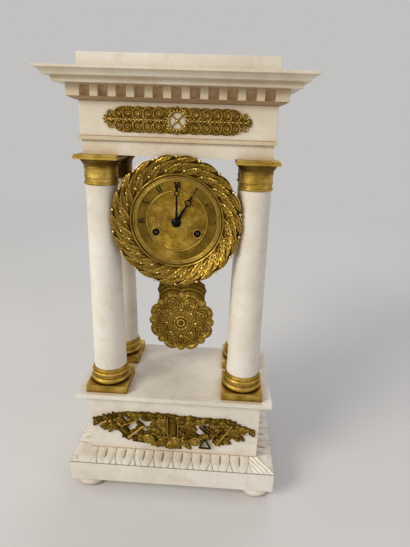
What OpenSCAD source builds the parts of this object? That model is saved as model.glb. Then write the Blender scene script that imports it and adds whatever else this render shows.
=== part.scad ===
// Portico mantel clock, four columns with a drum head and a hanging pendulum
// Millimetres, +Z up, front towards -Y, origin under the middle of the base

/* [Base] */
// Width of the base slab
slab_w = 236; // [225:1:250]
// Depth of the base slab
slab_d = 147; // [140:1:160]
// Height of the base slab
slab_h = 24; // [20:0.5:30]
// Height of the bun feet
foot_h = 15; // [12:0.5:18]
// Radius of the bun feet
foot_r = 18; // [15:0.5:20]
// Distance from a foot to the slab edge
foot_margin = 1.4; // [0.5:0.1:5]
// Height of the carved leaf moulding
leaf_h = 7; // [5:0.5:9]
// Horizontal run of the leaf moulding
leaf_run = 20; // [16:0.5:22]
// Straight edge under the leaves
leaf_edge = 1.2; // [0.8:0.1:2]
// Height of the plinth block
plinth_h = 68.4; // [58:0.2:80]
// Height of the plinth cap
cap_h = 9; // [7:0.5:12]
// Overhang of the cap at the sides
cap_over_x = 12; // [8:0.5:14]
// Overhang of the cap at front and back
cap_over_y = 6.5; // [5:0.5:12]
// Radius of the hollow under the cap edge
cap_cove = 4; // [2:0.5:4.5]

/* [Columns] */
// Column spacing across the front, centre to centre
col_span_x = 152.4; // [148:0.2:155]
// Column spacing from front to back
col_span_y = 64.2; // [61:0.2:66]
// Side of the square column foot
base_w = 45.6; // [42:0.2:47]
// Height of the square column foot
base_plinth_h = 9.2; // [7:0.2:12]
// Height of the turned rings over the foot
base_ring_h = 18; // [15:0.5:21]
// Length of the column shaft
shaft_h = 203.7; // [190:0.1:220]
// Shaft radius at the bottom
shaft_r = 18.2; // [16.5:0.1:19.5]
// Shaft radius at the top
shaft_top_r = 15.6; // [14:0.1:16.2]
// Height of the turned capital
capital_h = 24.3; // [21:0.1:28]
// Side of the square abacus
abacus_w = 41.6; // [40:0.2:45]
// Thickness of the abacus
abacus_h = 4.2; // [3:0.1:6]
// Radius of the iron tie rods
rod_r = 3; // [2.5:0.1:4]
// Clearance around a tie rod in the stone
rod_play = 0.6; // [0.4:0.1:1]
// Height of the tie rod nuts
nut_h = 6; // [4:0.5:7]

/* [Entablature] */
// Width of the architrave
arch_w = 180.4; // [170:0.2:190]
// Depth of the architrave
arch_d = 85.2; // [80:0.2:90]
// Height of the architrave below its fillet
arch_h = 13.4; // [11:0.2:17]
// Height of the small moulding on the architrave
taenia_h = 3.5; // [2.5:0.1:5]
// Projection of the small moulding
taenia_out = 1.8; // [1:0.1:2.5]
// Height of the frieze block
frieze_h = 30.6; // [28:0.2:36]
// Projection of the frieze beyond the architrave
frieze_out = 0.8; // [0.4:0.1:1.5]
// Height of the dentil course
dentil_h = 13.4; // [12.4:0.2:17]
// Height of one dentil
dentil_tall = 10; // [8:0.2:11]
// Width of one dentil
dentil_w = 7.2; // [6:0.1:8]
// Width of the corner dentils
dentil_corner = 12.4; // [10:0.1:14]
// Projection of the dentils beyond the frieze
dentil_out = 8.2; // [6:0.1:10]
// Dentils along the front between the corners
dentils_front = 10; // [8:1:11]
// Dentils along a side between the corners
dentils_side = 4; // [3:1:5]
// Projection of the corona beyond the dentils
corona_out = 9.3; // [7:0.1:11]
// Height of the corona
corona_h = 4.2; // [3:0.1:6]
// Projection of the crown moulding
crown_out = 11.3; // [9:0.1:13]
// Height of the crown moulding
crown_h = 5.7; // [4:0.1:8]
// Height of the top edge
crown_edge_h = 2.3; // [1.5:0.1:4]
// Width of the attic block
attic_w = 181.6; // [170:0.2:195]
// Depth of the attic block
attic_d = 86; // [78:0.2:95]
// Height of the attic block
attic_h = 14.1; // [10:0.1:18]

/* [Gilt mounts] */
// Thickness of the gilt mounts
mount_t = 2; // [1.5:0.1:3]
// Length of the frieze mount between its tips
frieze_mount_w = 138; // [130:1:145]
// Height of the frieze mount
frieze_mount_h = 25; // [22:0.5:27]
// Scrolls in each row on one side of the frieze mount
scrolls = 5; // [4:1:6]
// Length of the plinth mount between its tips
plinth_mount_w = 186; // [170:1:190]
// Height of the plinth mount
plinth_mount_h = 48; // [40:1:52]
// Radius of the roses on the plinth mount
rose_r = 6.4; // [5:0.1:7]

/* [Clock head] */
// Dial centre below the architrave
dial_drop = 62.3; // [59:0.1:66]
// Gap between the bezel rim and the front columns
bezel_side = 0.7; // [0.5:0.1:3]
// Long scallops around the bezel rim, with a berry between each two
bezel_scallops = 18; // [14:1:24]
// Thickness of the bezel rim
bezel_rim = 5.4; // [4.4:0.1:6.4]
// Depth of the bezel behind its rim, down to the drum front
bezel_seat = 2; // [1.6:0.1:3]
// Gap between bezel and architrave front
bezel_gap = 0.4; // [0.3:0.1:1]
// Outer radius of the drum case
drum_r = 52; // [51.5:0.1:54]
// Wall of the drum case
drum_wall = 1.6; // [1.2:0.1:2]
// Length of the drum case
drum_len = 89; // [88:0.5:95]
// Depth of the dial behind the drum front
dial_sink = 4; // [3.6:0.1:5]
// Thickness of the dial
dial_t = 1.5; // [1:0.1:2]
// Radius of the engine turned middle of the dial
dial_mid_r = 30; // [27:0.5:32]
// Radius of the winding holes
wind_hole_r = 4; // [3.4:0.1:4.6]
// Thickness of the hands
hand_t = 0.8; // [0.6:0.1:1]
// Reach of the minute hand
minute_reach = 40.5; // [36:0.5:43]
// Reach of the hour hand
hour_reach = 32; // [26:0.5:33]
// Radius of the domed collet over the hands
collet_r = 5; // [4.5:0.1:5.5]
// Angle of the hour hand at rest
hour_rest = 30; // [0:5:355]
// Thickness of the rear cover
cover_t = 1.5; // [1:0.1:2]
// Radius of the rear cover knuckles
knuckle_r = 2; // [1.6:0.1:2.4]

/* [Movement] */
// Clearance between the movement plates and the drum
plate_room = 7.4; // [7.2:0.1:8]
// Thickness of the movement plates
plate_t = 2.5; // [2:0.1:2.8]
// Distance between the plates
plate_gap = 34.5; // [34:0.1:35]
// Space between dial and front plate
motion_gap = 8; // [7.8:0.1:8.4]
// Sideways place of the winding arbors
wind_x = 21; // [21:0.1:22]
// Drop of the winding arbors below the dial centre
wind_drop = 11.6; // [10.8:0.1:12]
// Radius of the winding arbors
wind_r = 2.5; // [2.2:0.1:2.8]
// Step from the great wheel down to the barrel wall
barrel_step = 2.5; // [2:0.1:4]
// Length of the spring barrels
barrel_len = 17.4; // [16:0.1:17.6]
// Thickness of the great wheels
great_t = 1.6; // [1.4:0.1:1.8]
// Thickness of the train wheels
wheel_t = 1.2; // [1:0.1:1.3]
// Great wheel of the going barrel in front of the back plate
going_level = 12.6; // [12.4:0.1:13]
// Second wheel in front of the back plate
second_level = 9; // [8.9:0.1:9.1]
// Third wheel in front of the back plate
third_level = 6.3; // [6.2:0.1:6.4]
// Centre wheel in front of the back plate
centre_level = 3.5; // [3.4:0.1:3.6]
// Escape wheel in front of the back plate
escape_level = 21; // [19:0.5:23]
// Length the pinions stand out beyond their wheels
pinion_over = 0.8; // [0.6:0.1:0.9]
// Clearance between the suspension cock and the drum
cock_room = 3.4; // [3:0.1:5]
// Length of the crutch
crutch_len = 24; // [22:0.5:27]
// Radius of the escape wheel
escape_r = 9; // [8:0.1:9.2]
// Teeth of the escape wheel
escape_teeth = 33; // [27:2:37]
// Pallet arbor above the escape arbor
pallet_rise = 12.2; // [12:0.1:12.4]
// Clearance between the bell rim and the drum
bell_room = 14.4; // [14:0.1:18]
// Depth of the bell
bell_h = 12.5; // [11:0.1:12.6]
// Wall of the bell
bell_t = 1.5; // [1:0.1:2]

/* [Pendulum] */
// Plane of the pendulum behind the back plate
rod_back = 16; // [15.8:0.1:16.4]
// Length from the suspension to the bob centre
pendulum_len = 178; // [172:0.5:182]
// Radius of the bob
bob_r = 41; // [37:0.5:42]
// Radius of the small lobes between the roses
lobe_small = 5; // [4:0.1:6]
// Radius of the large lobes behind the roses
lobe_large = 11.6; // [10:0.1:12.5]
// Roses around the bob
bob_roses = 8; // [6:1:9]
// Radius of a rose on the bob
bob_rose_r = 8.6; // [7:0.1:9]
// Radius of the beads around the middle of the bob
bob_bead = 1.7; // [1.2:0.1:2.2]
// Half width of the collar over the bob
collar_w = 28; // [26:0.5:32]
// Rise of the domed middle of the bob
bob_dome = 4.5; // [3:0.1:6]
// Thickness of the bob plate
bob_t = 2.5; // [2:0.1:3.5]
// Radius of the pendulum rod
pend_r = 1.5; // [1.2:0.1:1.6]

/* [Fits] */
// Radial clearance of a shaft in its bore
fit = 0.05; // [0.03:0.01:0.08]
// Clearance between pieces that pass each other
play = 0.4; // [0.35:0.05:0.5]

/* [Hidden] */
$fn = 64;
eps = 0.01;
stone = [0.93, 0.90, 0.84];
gilt = [0.72, 0.56, 0.25];
brass = [0.80, 0.68, 0.38];
steel = [0.55, 0.56, 0.58];
iron = [0.25, 0.24, 0.23];
dark = [0.08, 0.08, 0.09];

// Levels of the case, each on top of the one before
slab_z = foot_h;
leaf_z = slab_z + slab_h;
plinth_z = leaf_z + leaf_h;
cap_z = plinth_z + plinth_h;
col_z = cap_z + cap_h;
ring_z = col_z + base_plinth_h;
shaft_z = ring_z + base_ring_h;
capital_z = shaft_z + shaft_h;
abacus_z = capital_z + capital_h;
arch_z = abacus_z + abacus_h;
taenia_z = arch_z + arch_h;
frieze_z = taenia_z + taenia_h;
dentil_z = frieze_z + frieze_h;
cornice_z = dentil_z + dentil_h;
crown_z = cornice_z + corona_h;
attic_z = crown_z + crown_h + crown_edge_h;
dial_z = arch_z - dial_drop;

// Half sizes of the case
plinth_x = slab_w / 2 - leaf_run;
plinth_y = slab_d / 2 - leaf_run;
frieze_x = arch_w / 2 + frieze_out;
frieze_y = arch_d / 2 + frieze_out;
tooth_x = frieze_x + dentil_out;
tooth_y = frieze_y + dentil_out;
foot_x = slab_w / 2 - foot_r - foot_margin;
foot_y = slab_d / 2 - foot_r - foot_margin;
bore_r = rod_r + rod_play;
nut_r = 2.2 * rod_r;
nut_pocket_r = nut_r + 1.5;
stud_r = 3;
stud_h = 10;

// Levels of the clock head along Y
front_y = -arch_d / 2 - bezel_gap;
dial_y = front_y + dial_sink;
dial_back = dial_y + dial_t;
fplate_y = dial_back + motion_gap;
train_y = fplate_y + plate_t;
bplate_y = train_y + plate_gap;
rear_y = bplate_y + plate_t;
pend_y = rear_y + rod_back;
drum_end = front_y + drum_len;
drum_in = drum_r - drum_wall;
dial_r = drum_in - 2.9;
head_col_r = shaft_r + (shaft_top_r - shaft_r) * (dial_z - shaft_z) / shaft_h;
rim_back = bezel_rim / 3;
rim_margin = 3.2;
head_col_y = arch_d / 2 + bezel_gap + rim_back - col_span_y / 2;
head_chord = sqrt(max(0, head_col_r * head_col_r - head_col_y * head_col_y));
bezel_r = col_span_x / 2 - head_chord - bezel_side;
flange_y = drum_end - 4;
hour_y = dial_y - 1.4 - hand_t;
minute_y = hour_y - 1.4 - hand_t;
collet_y = minute_y - 0.1;

// Wheel counts, modules and places
plate_r = drum_in - plate_room;
train_m = plate_r / 86;
barrel_n = 78;
barrel_m = train_m;
second_pn = 10;
second_n = 76;
second_m = 0.9 * train_m;
centre_pn = 10;
centre_n = 96;
centre_m = 0.72 * train_m;
third_pn = 8;
third_n = 88;
third_m = 0.64 * train_m;
escape_pn = 8;
cannon_n = 16;
minute_n = 48;
motion_a = 14.4;
minute_m = 2 * motion_a / (cannon_n + minute_n);
hour_n = 48;
hour_pn = 12;
hour_m = 2 * motion_a / (hour_n + hour_pn);
barrel_r = barrel_n * barrel_m / 2 - barrel_step;
strike_level = going_level + barrel_len + great_t;
cock_top = drum_in - cock_room;
pallet_z = cock_top - 8.8;
escape_z = pallet_z - pallet_rise;
barrel_d = sqrt(wind_x * wind_x + wind_drop * wind_drop);
barrel_a = atan2(-wind_drop, wind_x);
second_d = (second_n + centre_pn) * second_m / 2;
second_b = (barrel_n + second_pn) * barrel_m / 2;
second_a = barrel_a + acos((barrel_d * barrel_d + second_d * second_d - second_b * second_b)
    / (2 * barrel_d * second_d));
second_at = [second_d * cos(second_a), second_d * sin(second_a)];
third_d = (centre_n + third_pn) * centre_m / 2;
third_e = (third_n + escape_pn) * third_m / 2;
third_a = 90 + acos((third_d * third_d + escape_z * escape_z - third_e * third_e)
    / (2 * third_d * escape_z));
third_at = [third_d * cos(third_a), third_d * sin(third_a)];
going_at = [wind_x, -wind_drop];
strike_at = [-wind_x, -wind_drop];
pivot_r = 0.5;
arbor_r = 0.8;
centre_r = 1.1;
cannon_r = 1.8;
hour_pipe_r = 2.7;
pillar_r = 3;
tenon_r = 1.5;
pillar_at = [60, 120, 255, 285];
pillar_ring = plate_r - 2 * pillar_r;
foot_ring = plate_r - 5;
dial_feet_at = [30, 150, 270];
hammer_ring = plate_r - 3.3;
hammer_at = [hammer_ring * cos(221), hammer_ring * sin(221)];
head_ring = drum_in - 9.5;
hammer_head_at = [head_ring * cos(165), head_ring * sin(165)];
bell_r = drum_in - bell_room;
bell_post_at = [(bell_r - 10) * cos(-22), (bell_r - 10) * sin(-22)];
hanger_half = 16;
hanger_front = train_y - 4;
hanger_len = 37;
bolt_at = [train_y + 3, train_y + 26];
bell_y = pend_y + 4.5;
bob_z = pallet_z - pendulum_len;

// A section drawn in X and Z, run along Y
module along_y(d) {
    rotate([90, 0, 0])
        linear_extrude(height = d, center = true)
            children();
}

// A section drawn in Y and Z, run along X
module along_x(w) {
    rotate([90, 0, 90])
        linear_extrude(height = w, center = true)
            children();
}

// A plain block standing on level z
module block(hx, hy, z, h) {
    translate([-hx, -hy, z])
        cube([2 * hx, 2 * hy, h]);
}

// Copies at the four columns
module at_columns() {
    for (x = [-1, 1])
        for (y = [-1, 1])
            translate([x * col_span_x / 2, y * col_span_y / 2, 0])
                children();
}

// Bores for the four tie rods
module rod_bores(z, h) {
    at_columns()
        translate([0, 0, z - 1])
            cylinder(h = h + 2, r = bore_r);
}

// A cylinder along Y about the dial centre, at x and z
module turned(y, l, r, at = [0, 0]) {
    translate([at[0], y, dial_z + at[1]])
        rotate([-90, 0, 0])
            cylinder(h = l, r = r);
}

// A plate in the dial plane, drawn about the dial centre in X and Z
module plate(y, t) {
    translate([0, y + t, dial_z])
        rotate([90, 0, 0])
            linear_extrude(height = t)
                children();
}

// Tooth outline of a wheel with one tooth centred at angle turn
module teeth(n, m, turn, top = 0.9, base = 0.25) {
    r = n * m / 2;
    polygon([for (i = [0 : n - 1], c = [[-1.25, -base], [top, -0.09], [top, 0.09], [-1.25, base]])
        let (a = turn + 360 / n * (i + c[1]))
        [(r + c[0] * m) * cos(a), (r + c[0] * m) * sin(a)]]);
}

// Leaves of a pinion with a gap centred at angle turn
module leaves(n, m, turn) {
    teeth(n, m, turn + 180 / n, 0.75, 0.2);
}

// A crossed out wheel with four arms
module crossed(n, m, turn, hub) {
    r = n * m / 2;
    difference() {
        teeth(n, m, turn);
        difference() {
            circle(r = r - 4 * m);
            circle(r = hub);
            square([2 * r, 4 * m], center = true);
            square([4 * m, 2 * r], center = true);
        }
    }
}

// Direction from one place to another in the dial plane
function heading(a, b) = atan2(b[1] - a[1], b[0] - a[0]);

module foot(x, y) {
    color(stone)
        translate([x * foot_x, y * foot_y, 0]) {
            rotate_extrude()
                union() {
                    square([foot_r - foot_h / 2, foot_h]);
                    intersection() {
                        translate([foot_r - foot_h / 2, foot_h / 2])
                            circle(r = foot_h / 2);
                        square([foot_r, foot_h]);
                    }
                }
            cylinder(h = foot_h + stud_h - 1, r = stud_r);
        }
}

module foot_front_left() {
    foot(-1, -1);
}

module foot_front_right() {
    foot(1, -1);
}

module foot_rear_left() {
    foot(-1, 1);
}

module foot_rear_right() {
    foot(1, 1);
}

module base_slab() {
    color(stone)
        difference() {
            block(slab_w / 2, slab_d / 2, slab_z, slab_h);
            rod_bores(slab_z, slab_h);
            at_columns()
                translate([0, 0, slab_z - 1])
                    cylinder(h = nut_h + 3, r = nut_pocket_r);
            for (x = [-1, 1])
                for (y = [-1, 1])
                    translate([x * foot_x, y * foot_y, slab_z - 1])
                        cylinder(h = stud_h + 1, r = stud_r + fit);
        }
}

// Half outline of the leaf moulding, straight edge then an ogee up to the plinth
function ogee(half) = [for (i = [0 : 16])
    let (t = i / 16)
    [half - leaf_run * t, leaf_edge + (leaf_h - leaf_edge) * (t + 0.12 * sin(360 * t))]];

module leaf_section(half) {
    edge = ogee(half);
    n = len(edge) - 1;
    polygon(concat([[half, 0]], edge, [for (i = [n : -1 : 0]) [-edge[i][0], edge[i][1]]],
        [[-half, 0]]));
}

module leaf_moulding() {
    color(stone)
        difference() {
            translate([0, 0, leaf_z])
                intersection() {
                    along_y(2 * slab_d)
                        leaf_section(slab_w / 2);
                    along_x(2 * slab_w)
                        leaf_section(slab_d / 2);
                }
            rod_bores(leaf_z, leaf_h);
        }
}

module plinth_block() {
    color(stone)
        difference() {
            block(plinth_x, plinth_y, plinth_z, plinth_h);
            rod_bores(plinth_z, plinth_h);
        }
}

// A pointed leaf along X, made where two circles cross
module leaf(l, w) {
    r = (l * l + w * w) / (4 * w);
    intersection() {
        translate([l / 2, r - w / 2])
            circle(r = r);
        translate([l / 2, w / 2 - r])
            circle(r = r);
    }
}

// Gilt sprays of leaves and roses on the plinth front, over an upright panel
module plinth_mount() {
    w = plinth_mount_w / 2;
    h = plinth_mount_h / 2;
    sprays = 9;
    color(gilt)
        translate([0, -plinth_y, plinth_z + plinth_h * 0.44])
            rotate([90, 0, 0]) {
                linear_extrude(height = mount_t * 0.6)
                    polygon([[-0.86 * w, 0.42 * h], [-0.7 * w, 0.72 * h], [-0.42 * w, 0.8 * h],
                        [0.42 * w, 0.8 * h], [0.7 * w, 0.72 * h], [0.86 * w, 0.42 * h],
                        [0.5 * w, -0.3 * h], [0, -0.8 * h], [-0.5 * w, -0.3 * h]]);
                linear_extrude(height = mount_t)
                    for (s = [0, 1])
                        mirror([s, 0])
                            for (i = [0 : sprays]) {
                                t = i / sprays;
                                translate([w * (0.1 + 0.76 * t), h * (0.9 * pow(t, 0.8) - 0.55)])
                                    for (v = [1, -1])
                                        rotate(v * (62 - 46 * t) - 6)
                                            leaf(h * (0.95 - 0.35 * t) * (v > 0 ? 1.1 : 0.62), 5.4 - 1.6 * t);
                                translate([w * (0.12 + 0.62 * t), h * 0.6])
                                    rotate(64 - 40 * t)
                                        leaf(h * (0.46 - 0.12 * t), 4.4);
                            }
                for (s = [-1, 1])
                    for (p = [[0.24, -0.42, 1], [0.5, 0.3, 0.8], [0.7, 0.42, 0.6], [0.17, 0.3, 0.7]])
                        translate([s * p[0] * w, p[1] * h, 0]) {
                            cylinder(h = mount_t + p[2], r = rose_r * p[2]);
                            cylinder(h = mount_t + 1.8 * p[2], r = 0.6 * rose_r * p[2]);
                        }
                linear_extrude(height = mount_t + 0.6)
                    translate([-0.08 * w, -0.35 * h])
                        square([0.16 * w, 1.2 * h]);
                linear_extrude(height = mount_t)
                    for (a = [-130, -110, -90, -70, -50])
                        translate([0, -0.4 * h])
                            rotate(a)
                                leaf(0.6 * h, 5);
                translate([0, -0.55 * h, 0])
                    cylinder(h = mount_t + 1.4, r = 0.9 * rose_r);
            }
}

// Half outline of the cap, a flat edge over a hollow
module cap_section(half, over) {
    difference() {
        translate([-half - over, 0])
            square([2 * (half + over), cap_h]);
        for (s = [-1, 1])
            translate([s * (half + over), 0])
                circle(r = cap_cove);
    }
}

module plinth_cap() {
    color(stone)
        difference() {
            translate([0, 0, cap_z])
                intersection() {
                    along_y(2 * slab_d)
                        cap_section(plinth_x, cap_over_x);
                    along_x(2 * slab_w)
                        cap_section(plinth_y, cap_over_y);
                }
            rod_bores(cap_z, cap_h);
        }
}

// One column foot: square plinth, large roll, hollow, small roll, fillet
module column_base() {
    roll = base_ring_h * 0.38;
    neck = shaft_r + 0.9;
    lip = base_w / 2 - roll / 2 - 0.6;
    small = base_ring_h * 0.11;
    translate([-base_w / 2, -base_w / 2, col_z])
        cube([base_w, base_w, base_plinth_h]);
    translate([0, 0, ring_z])
        rotate_extrude()
            difference() {
                union() {
                    square([lip, roll]);
                    translate([lip, roll / 2])
                        circle(r = roll / 2);
                    square([lip + 0.6, roll + 1]);
                    difference() {
                        square([lip, base_ring_h * 0.62]);
                        translate([neck + 2.6, roll + 3])
                            circle(r = 2.6);
                    }
                    translate([neck, base_ring_h * 0.64])
                        circle(r = small);
                    square([neck, base_ring_h * 0.86]);
                    translate([neck - 0.6, base_ring_h * 0.86])
                        circle(r = 0.9);
                    square([shaft_r + 0.2, base_ring_h]);
                }
                square([bore_r, base_ring_h]);
                translate([0, base_ring_h])
                    square([base_w, 3]);
            }
}

module column_bases() {
    color(gilt)
        difference() {
            at_columns()
                column_base();
            rod_bores(col_z, base_plinth_h + base_ring_h);
        }
}

module shaft(x, y) {
    color(stone)
        translate([x * col_span_x / 2, y * col_span_y / 2, shaft_z])
            difference() {
                cylinder(h = shaft_h, r1 = shaft_r, r2 = shaft_top_r);
                translate([0, 0, -1])
                    cylinder(h = shaft_h + 2, r = bore_r);
            }
}

module shaft_front_left() {
    shaft(-1, -1);
}

module shaft_front_right() {
    shaft(1, -1);
}

module shaft_rear_left() {
    shaft(-1, 1);
}

module shaft_rear_right() {
    shaft(1, 1);
}

// One capital: astragal, banded neck, flaring echinus, square abacus in two steps
module capital() {
    bead = 1.3;
    neck = capital_h * 0.72;
    flare = capital_h - neck;
    lip = abacus_w / 2 - 1.2;
    step = abacus_h * 0.55;
    translate([0, 0, capital_z])
        rotate_extrude()
            difference() {
                union() {
                    square([shaft_top_r, capital_h]);
                    translate([shaft_top_r + 0.3, bead])
                        circle(r = bead);
                    square([shaft_top_r + 0.5, neck]);
                    for (v = [0.5, 1])
                        translate([shaft_top_r + 0.2, neck * v - bead])
                            circle(r = 0.9);
                    translate([0, neck])
                        difference() {
                            polygon([[0, 0], [shaft_top_r + 0.5, 0], [lip, flare * 0.8],
                                [lip, flare], [0, flare]]);
                            translate([lip, flare * 0.1])
                                circle(r = 2);
                        }
                }
                square([bore_r, capital_h]);
                translate([0, -bead])
                    square([shaft_top_r + 4, bead]);
            }
    translate([-abacus_w / 2 + 0.7, -abacus_w / 2 + 0.7, abacus_z])
        cube([abacus_w - 1.4, abacus_w - 1.4, abacus_h]);
    translate([-abacus_w / 2, -abacus_w / 2, abacus_z])
        cube([abacus_w, abacus_w, step]);
}

module capitals() {
    color(gilt)
        difference() {
            at_columns()
                capital();
            rod_bores(capital_z, capital_h + abacus_h);
        }
}

module architrave() {
    color(stone)
        difference() {
            union() {
                block(arch_w / 2, arch_d / 2, arch_z, arch_h);
                block(frieze_x + taenia_out, frieze_y + taenia_out, taenia_z, taenia_h);
            }
            rod_bores(arch_z, arch_h + taenia_h);
            at_columns()
                translate([0, 0, frieze_z - nut_h - 2])
                    cylinder(h = nut_h + 3, r = nut_pocket_r);
            hanger_holes(arch_z - 1, 10);
        }
}

module frieze_block() {
    color(stone)
        block(frieze_x, frieze_y, frieze_z, frieze_h);
}

// One ring of the frieze scrolls
module scroll(x, z, r, wall) {
    translate([x, z])
        difference() {
            circle(r = r);
            circle(r = r - wall);
        }
}

// Openwork gilt strip: two rows of scrolls, lattice ring in the middle, leaf tips
module frieze_mount() {
    w = frieze_mount_w / 2;
    h = frieze_mount_h / 2;
    ring = 0.68 * h;
    end = 0.84 * w;
    pitch = (end - ring) / scrolls;
    color(gilt)
        translate([0, -frieze_y, frieze_z + frieze_h / 2])
            rotate([90, 0, 0])
                linear_extrude(height = mount_t)
                    union() {
                        for (s = [-1, 1]) {
                            for (i = [0 : scrolls - 1])
                                for (v = [-1, 1])
                                    scroll(s * (ring + pitch * (i + 0.5)), v * h * 0.53, h * 0.47, 1.5);
                            translate([s * (ring + end) / 2, 0])
                                square([end - ring + 2, 1.8], center = true);
                            for (i = [0 : scrolls])
                                translate([s * (ring + pitch * i + 1), 0])
                                    circle(r = 2.2);
                            for (v = [-1, 1])
                                scroll(s * (end + 3), v * 3.6, 3.8, 1.5);
                            rotate(s < 0 ? 180 : 0)
                                polygon([[end, -2], [w - 3, -2.2], [w, 0], [w - 3, 2.2], [end, 2]]);
                        }
                        difference() {
                            square([1.84 * h, 2 * h], center = true);
                            circle(r = ring * 0.86);
                        }
                        for (a = [45, 135])
                            rotate(a)
                                square([2 * ring + 1, 1.6], center = true);
                    }
}

// Evenly spaced dentils along one side, drawn on the front
module dentil_row(half, depth, n) {
    gap = (2 * (half - dentil_corner) - n * dentil_w) / (n + 1);
    for (i = [0 : n - 1])
        translate([-half + dentil_corner + gap + i * (dentil_w + gap), -depth, 0])
            cube([dentil_w, dentil_out + 1, dentil_tall]);
}

// Hollow bed under the dentils, from the frieze face out to the teeth
module bed_section(half) {
    h = dentil_h - dentil_tall - 0.3;
    edge = [for (i = [0 : 6]) [half + dentil_out * i / 6, h * pow(i / 6, 1.7)]];
    polygon(concat(edge, [for (i = [6 : -1 : 0]) [-edge[i][0], edge[i][1]]]));
}

module dentil_course() {
    color(stone)
        union() {
            block(frieze_x, frieze_y, dentil_z, dentil_h);
            translate([0, 0, dentil_z])
                intersection() {
                    along_y(2 * slab_d)
                        bed_section(frieze_x);
                    along_x(2 * slab_w)
                        bed_section(frieze_y);
                }
            block(tooth_x, tooth_y, dentil_z + dentil_h - 0.6, 0.6);
            translate([0, 0, dentil_z + dentil_h - dentil_tall - 0.3]) {
                for (a = [0, 180])
                    rotate(a)
                        dentil_row(tooth_x, tooth_y, dentils_front);
                for (a = [90, 270])
                    rotate(a)
                        dentil_row(tooth_y, tooth_x, dentils_side);
                for (x = [-1, 1])
                    for (y = [-1, 1])
                        translate([x * (tooth_x - dentil_corner / 2),
                            y * (tooth_y - dentil_corner / 2), dentil_tall / 2])
                            cube([dentil_corner, dentil_corner, dentil_tall], center = true);
            }
        }
}

// Half outline of the cornice: corona, hollow, top edge
module cornice_section(half) {
    low = half + corona_out;
    top = low + crown_out;
    r = crown_h;
    difference() {
        union() {
            translate([-low, 0])
                square([2 * low, corona_h + crown_h]);
            translate([-top, corona_h])
                square([2 * top, crown_h + crown_edge_h]);
        }
        for (s = [-1, 1]) {
            translate([s * top, corona_h])
                circle(r = r);
            translate([s * (low + top) / 2, corona_h])
                square([crown_out, 0.3 * crown_h], center = true);
        }
    }
}

module cornice() {
    color(stone)
        translate([0, 0, cornice_z])
            intersection() {
                along_y(2 * slab_d)
                    cornice_section(tooth_x);
                along_x(2 * slab_w)
                    cornice_section(tooth_y);
            }
}

module attic_block() {
    color(stone)
        block(attic_w / 2, attic_d / 2, attic_z, attic_h);
}

module tie_rods() {
    color(iron)
        at_columns()
            translate([0, 0, slab_z + 1])
                cylinder(h = frieze_z - slab_z - 2, r = rod_r);
}

module tie_rod_nuts() {
    color(iron)
        at_columns()
            for (z = [slab_z + 2, frieze_z - nut_h - 2])
                translate([0, 0, z])
                    difference() {
                        cylinder(h = nut_h, r = nut_r, $fn = 6);
                        translate([0, 0, -1])
                            cylinder(h = nut_h + 2, r = rod_r + fit);
                    }
}

// Bores of the two bolts that hold the drum up
module hanger_holes(z, h) {
    for (y = bolt_at)
        translate([0, y, z])
            cylinder(h = h, r = wind_r + fit);
}

// Saddle between the drum and the underside of the architrave
module drum_hanger() {
    color(brass)
        difference() {
            translate([-hanger_half, hanger_front, dial_z + drum_r - 3])
                cube([2 * hanger_half, hanger_len, dial_drop - drum_r + 3]);
            translate([0, front_y, dial_z])
                rotate([-90, 0, 0])
                    cylinder(h = drum_len, r = drum_r + fit);
            hanger_holes(dial_z, dial_drop + 1);
        }
}

module hanger_bolts() {
    color(steel)
        for (y = bolt_at)
            translate([0, y, dial_z + drum_in - 2.8]) {
                cylinder(h = 2.5, r = 4.5);
                cylinder(h = dial_drop - drum_in + 10, r = wind_r);
            }
}

// Tube of the drum with a rear flange, hinge lugs and the pendulum slot
module drum_case() {
    color(brass)
        difference() {
            union() {
                difference() {
                    turned(front_y + bezel_seat, drum_len - bezel_seat, drum_r);
                    turned(front_y - 1, drum_len + 2, drum_in);
                }
                difference() {
                    turned(flange_y, 2, drum_in + 0.5);
                    turned(flange_y - 1, 4, drum_in - 6.4);
                }
                for (z = [-12, 6])
                    translate([-drum_r - 2.4, drum_end + 1, dial_z + z])
                        hinge_lug();
            }
            translate([-9.5, pend_y - 4, dial_z - drum_r - 1])
                cube([19, 8, 10]);
            hanger_holes(dial_z, drum_r + 1);
            for (s = [-1, 1])
                turned(flange_y - 1, 4, 1 + fit, [s * (drum_in - 2.5), 0]);
        }
}

// One lug of the cover hinge, its knuckle at the origin
module hinge_lug() {
    difference() {
        union() {
            cylinder(h = 6, r = knuckle_r);
            translate([-0.9, -7, 0])
                cube([4.9, 6, 6]);
        }
        translate([0, 0, -1])
            cylinder(h = 8, r = 0.9 + fit);
    }
}

module cover_pin() {
    color(steel)
        translate([-drum_r - 2.4, drum_end + 1, dial_z - 12])
            cylinder(h = 24, r = 0.9);
}

// Two bars that draw the bezel and the rear flange together
module case_straps() {
    color(brass)
        for (s = [-1, 1])
            difference() {
                translate([s * (drum_in - 2.5) - 1.5, dial_back + 0.5, dial_z - 4])
                    cube([3, flange_y - dial_back - 0.5, 8]);
                turned(flange_y - 10, 11, 1 + fit, [s * (drum_in - 2.5), 0]);
            }
}

module strap_screws() {
    color(steel)
        for (s = [-1, 1]) {
            turned(flange_y - 8, 10.5, 1, [s * (drum_in - 2.5), 0]);
            turned(flange_y + 2, 1.4, 2.2, [s * (drum_in - 2.5), 0]);
        }
}

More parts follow.
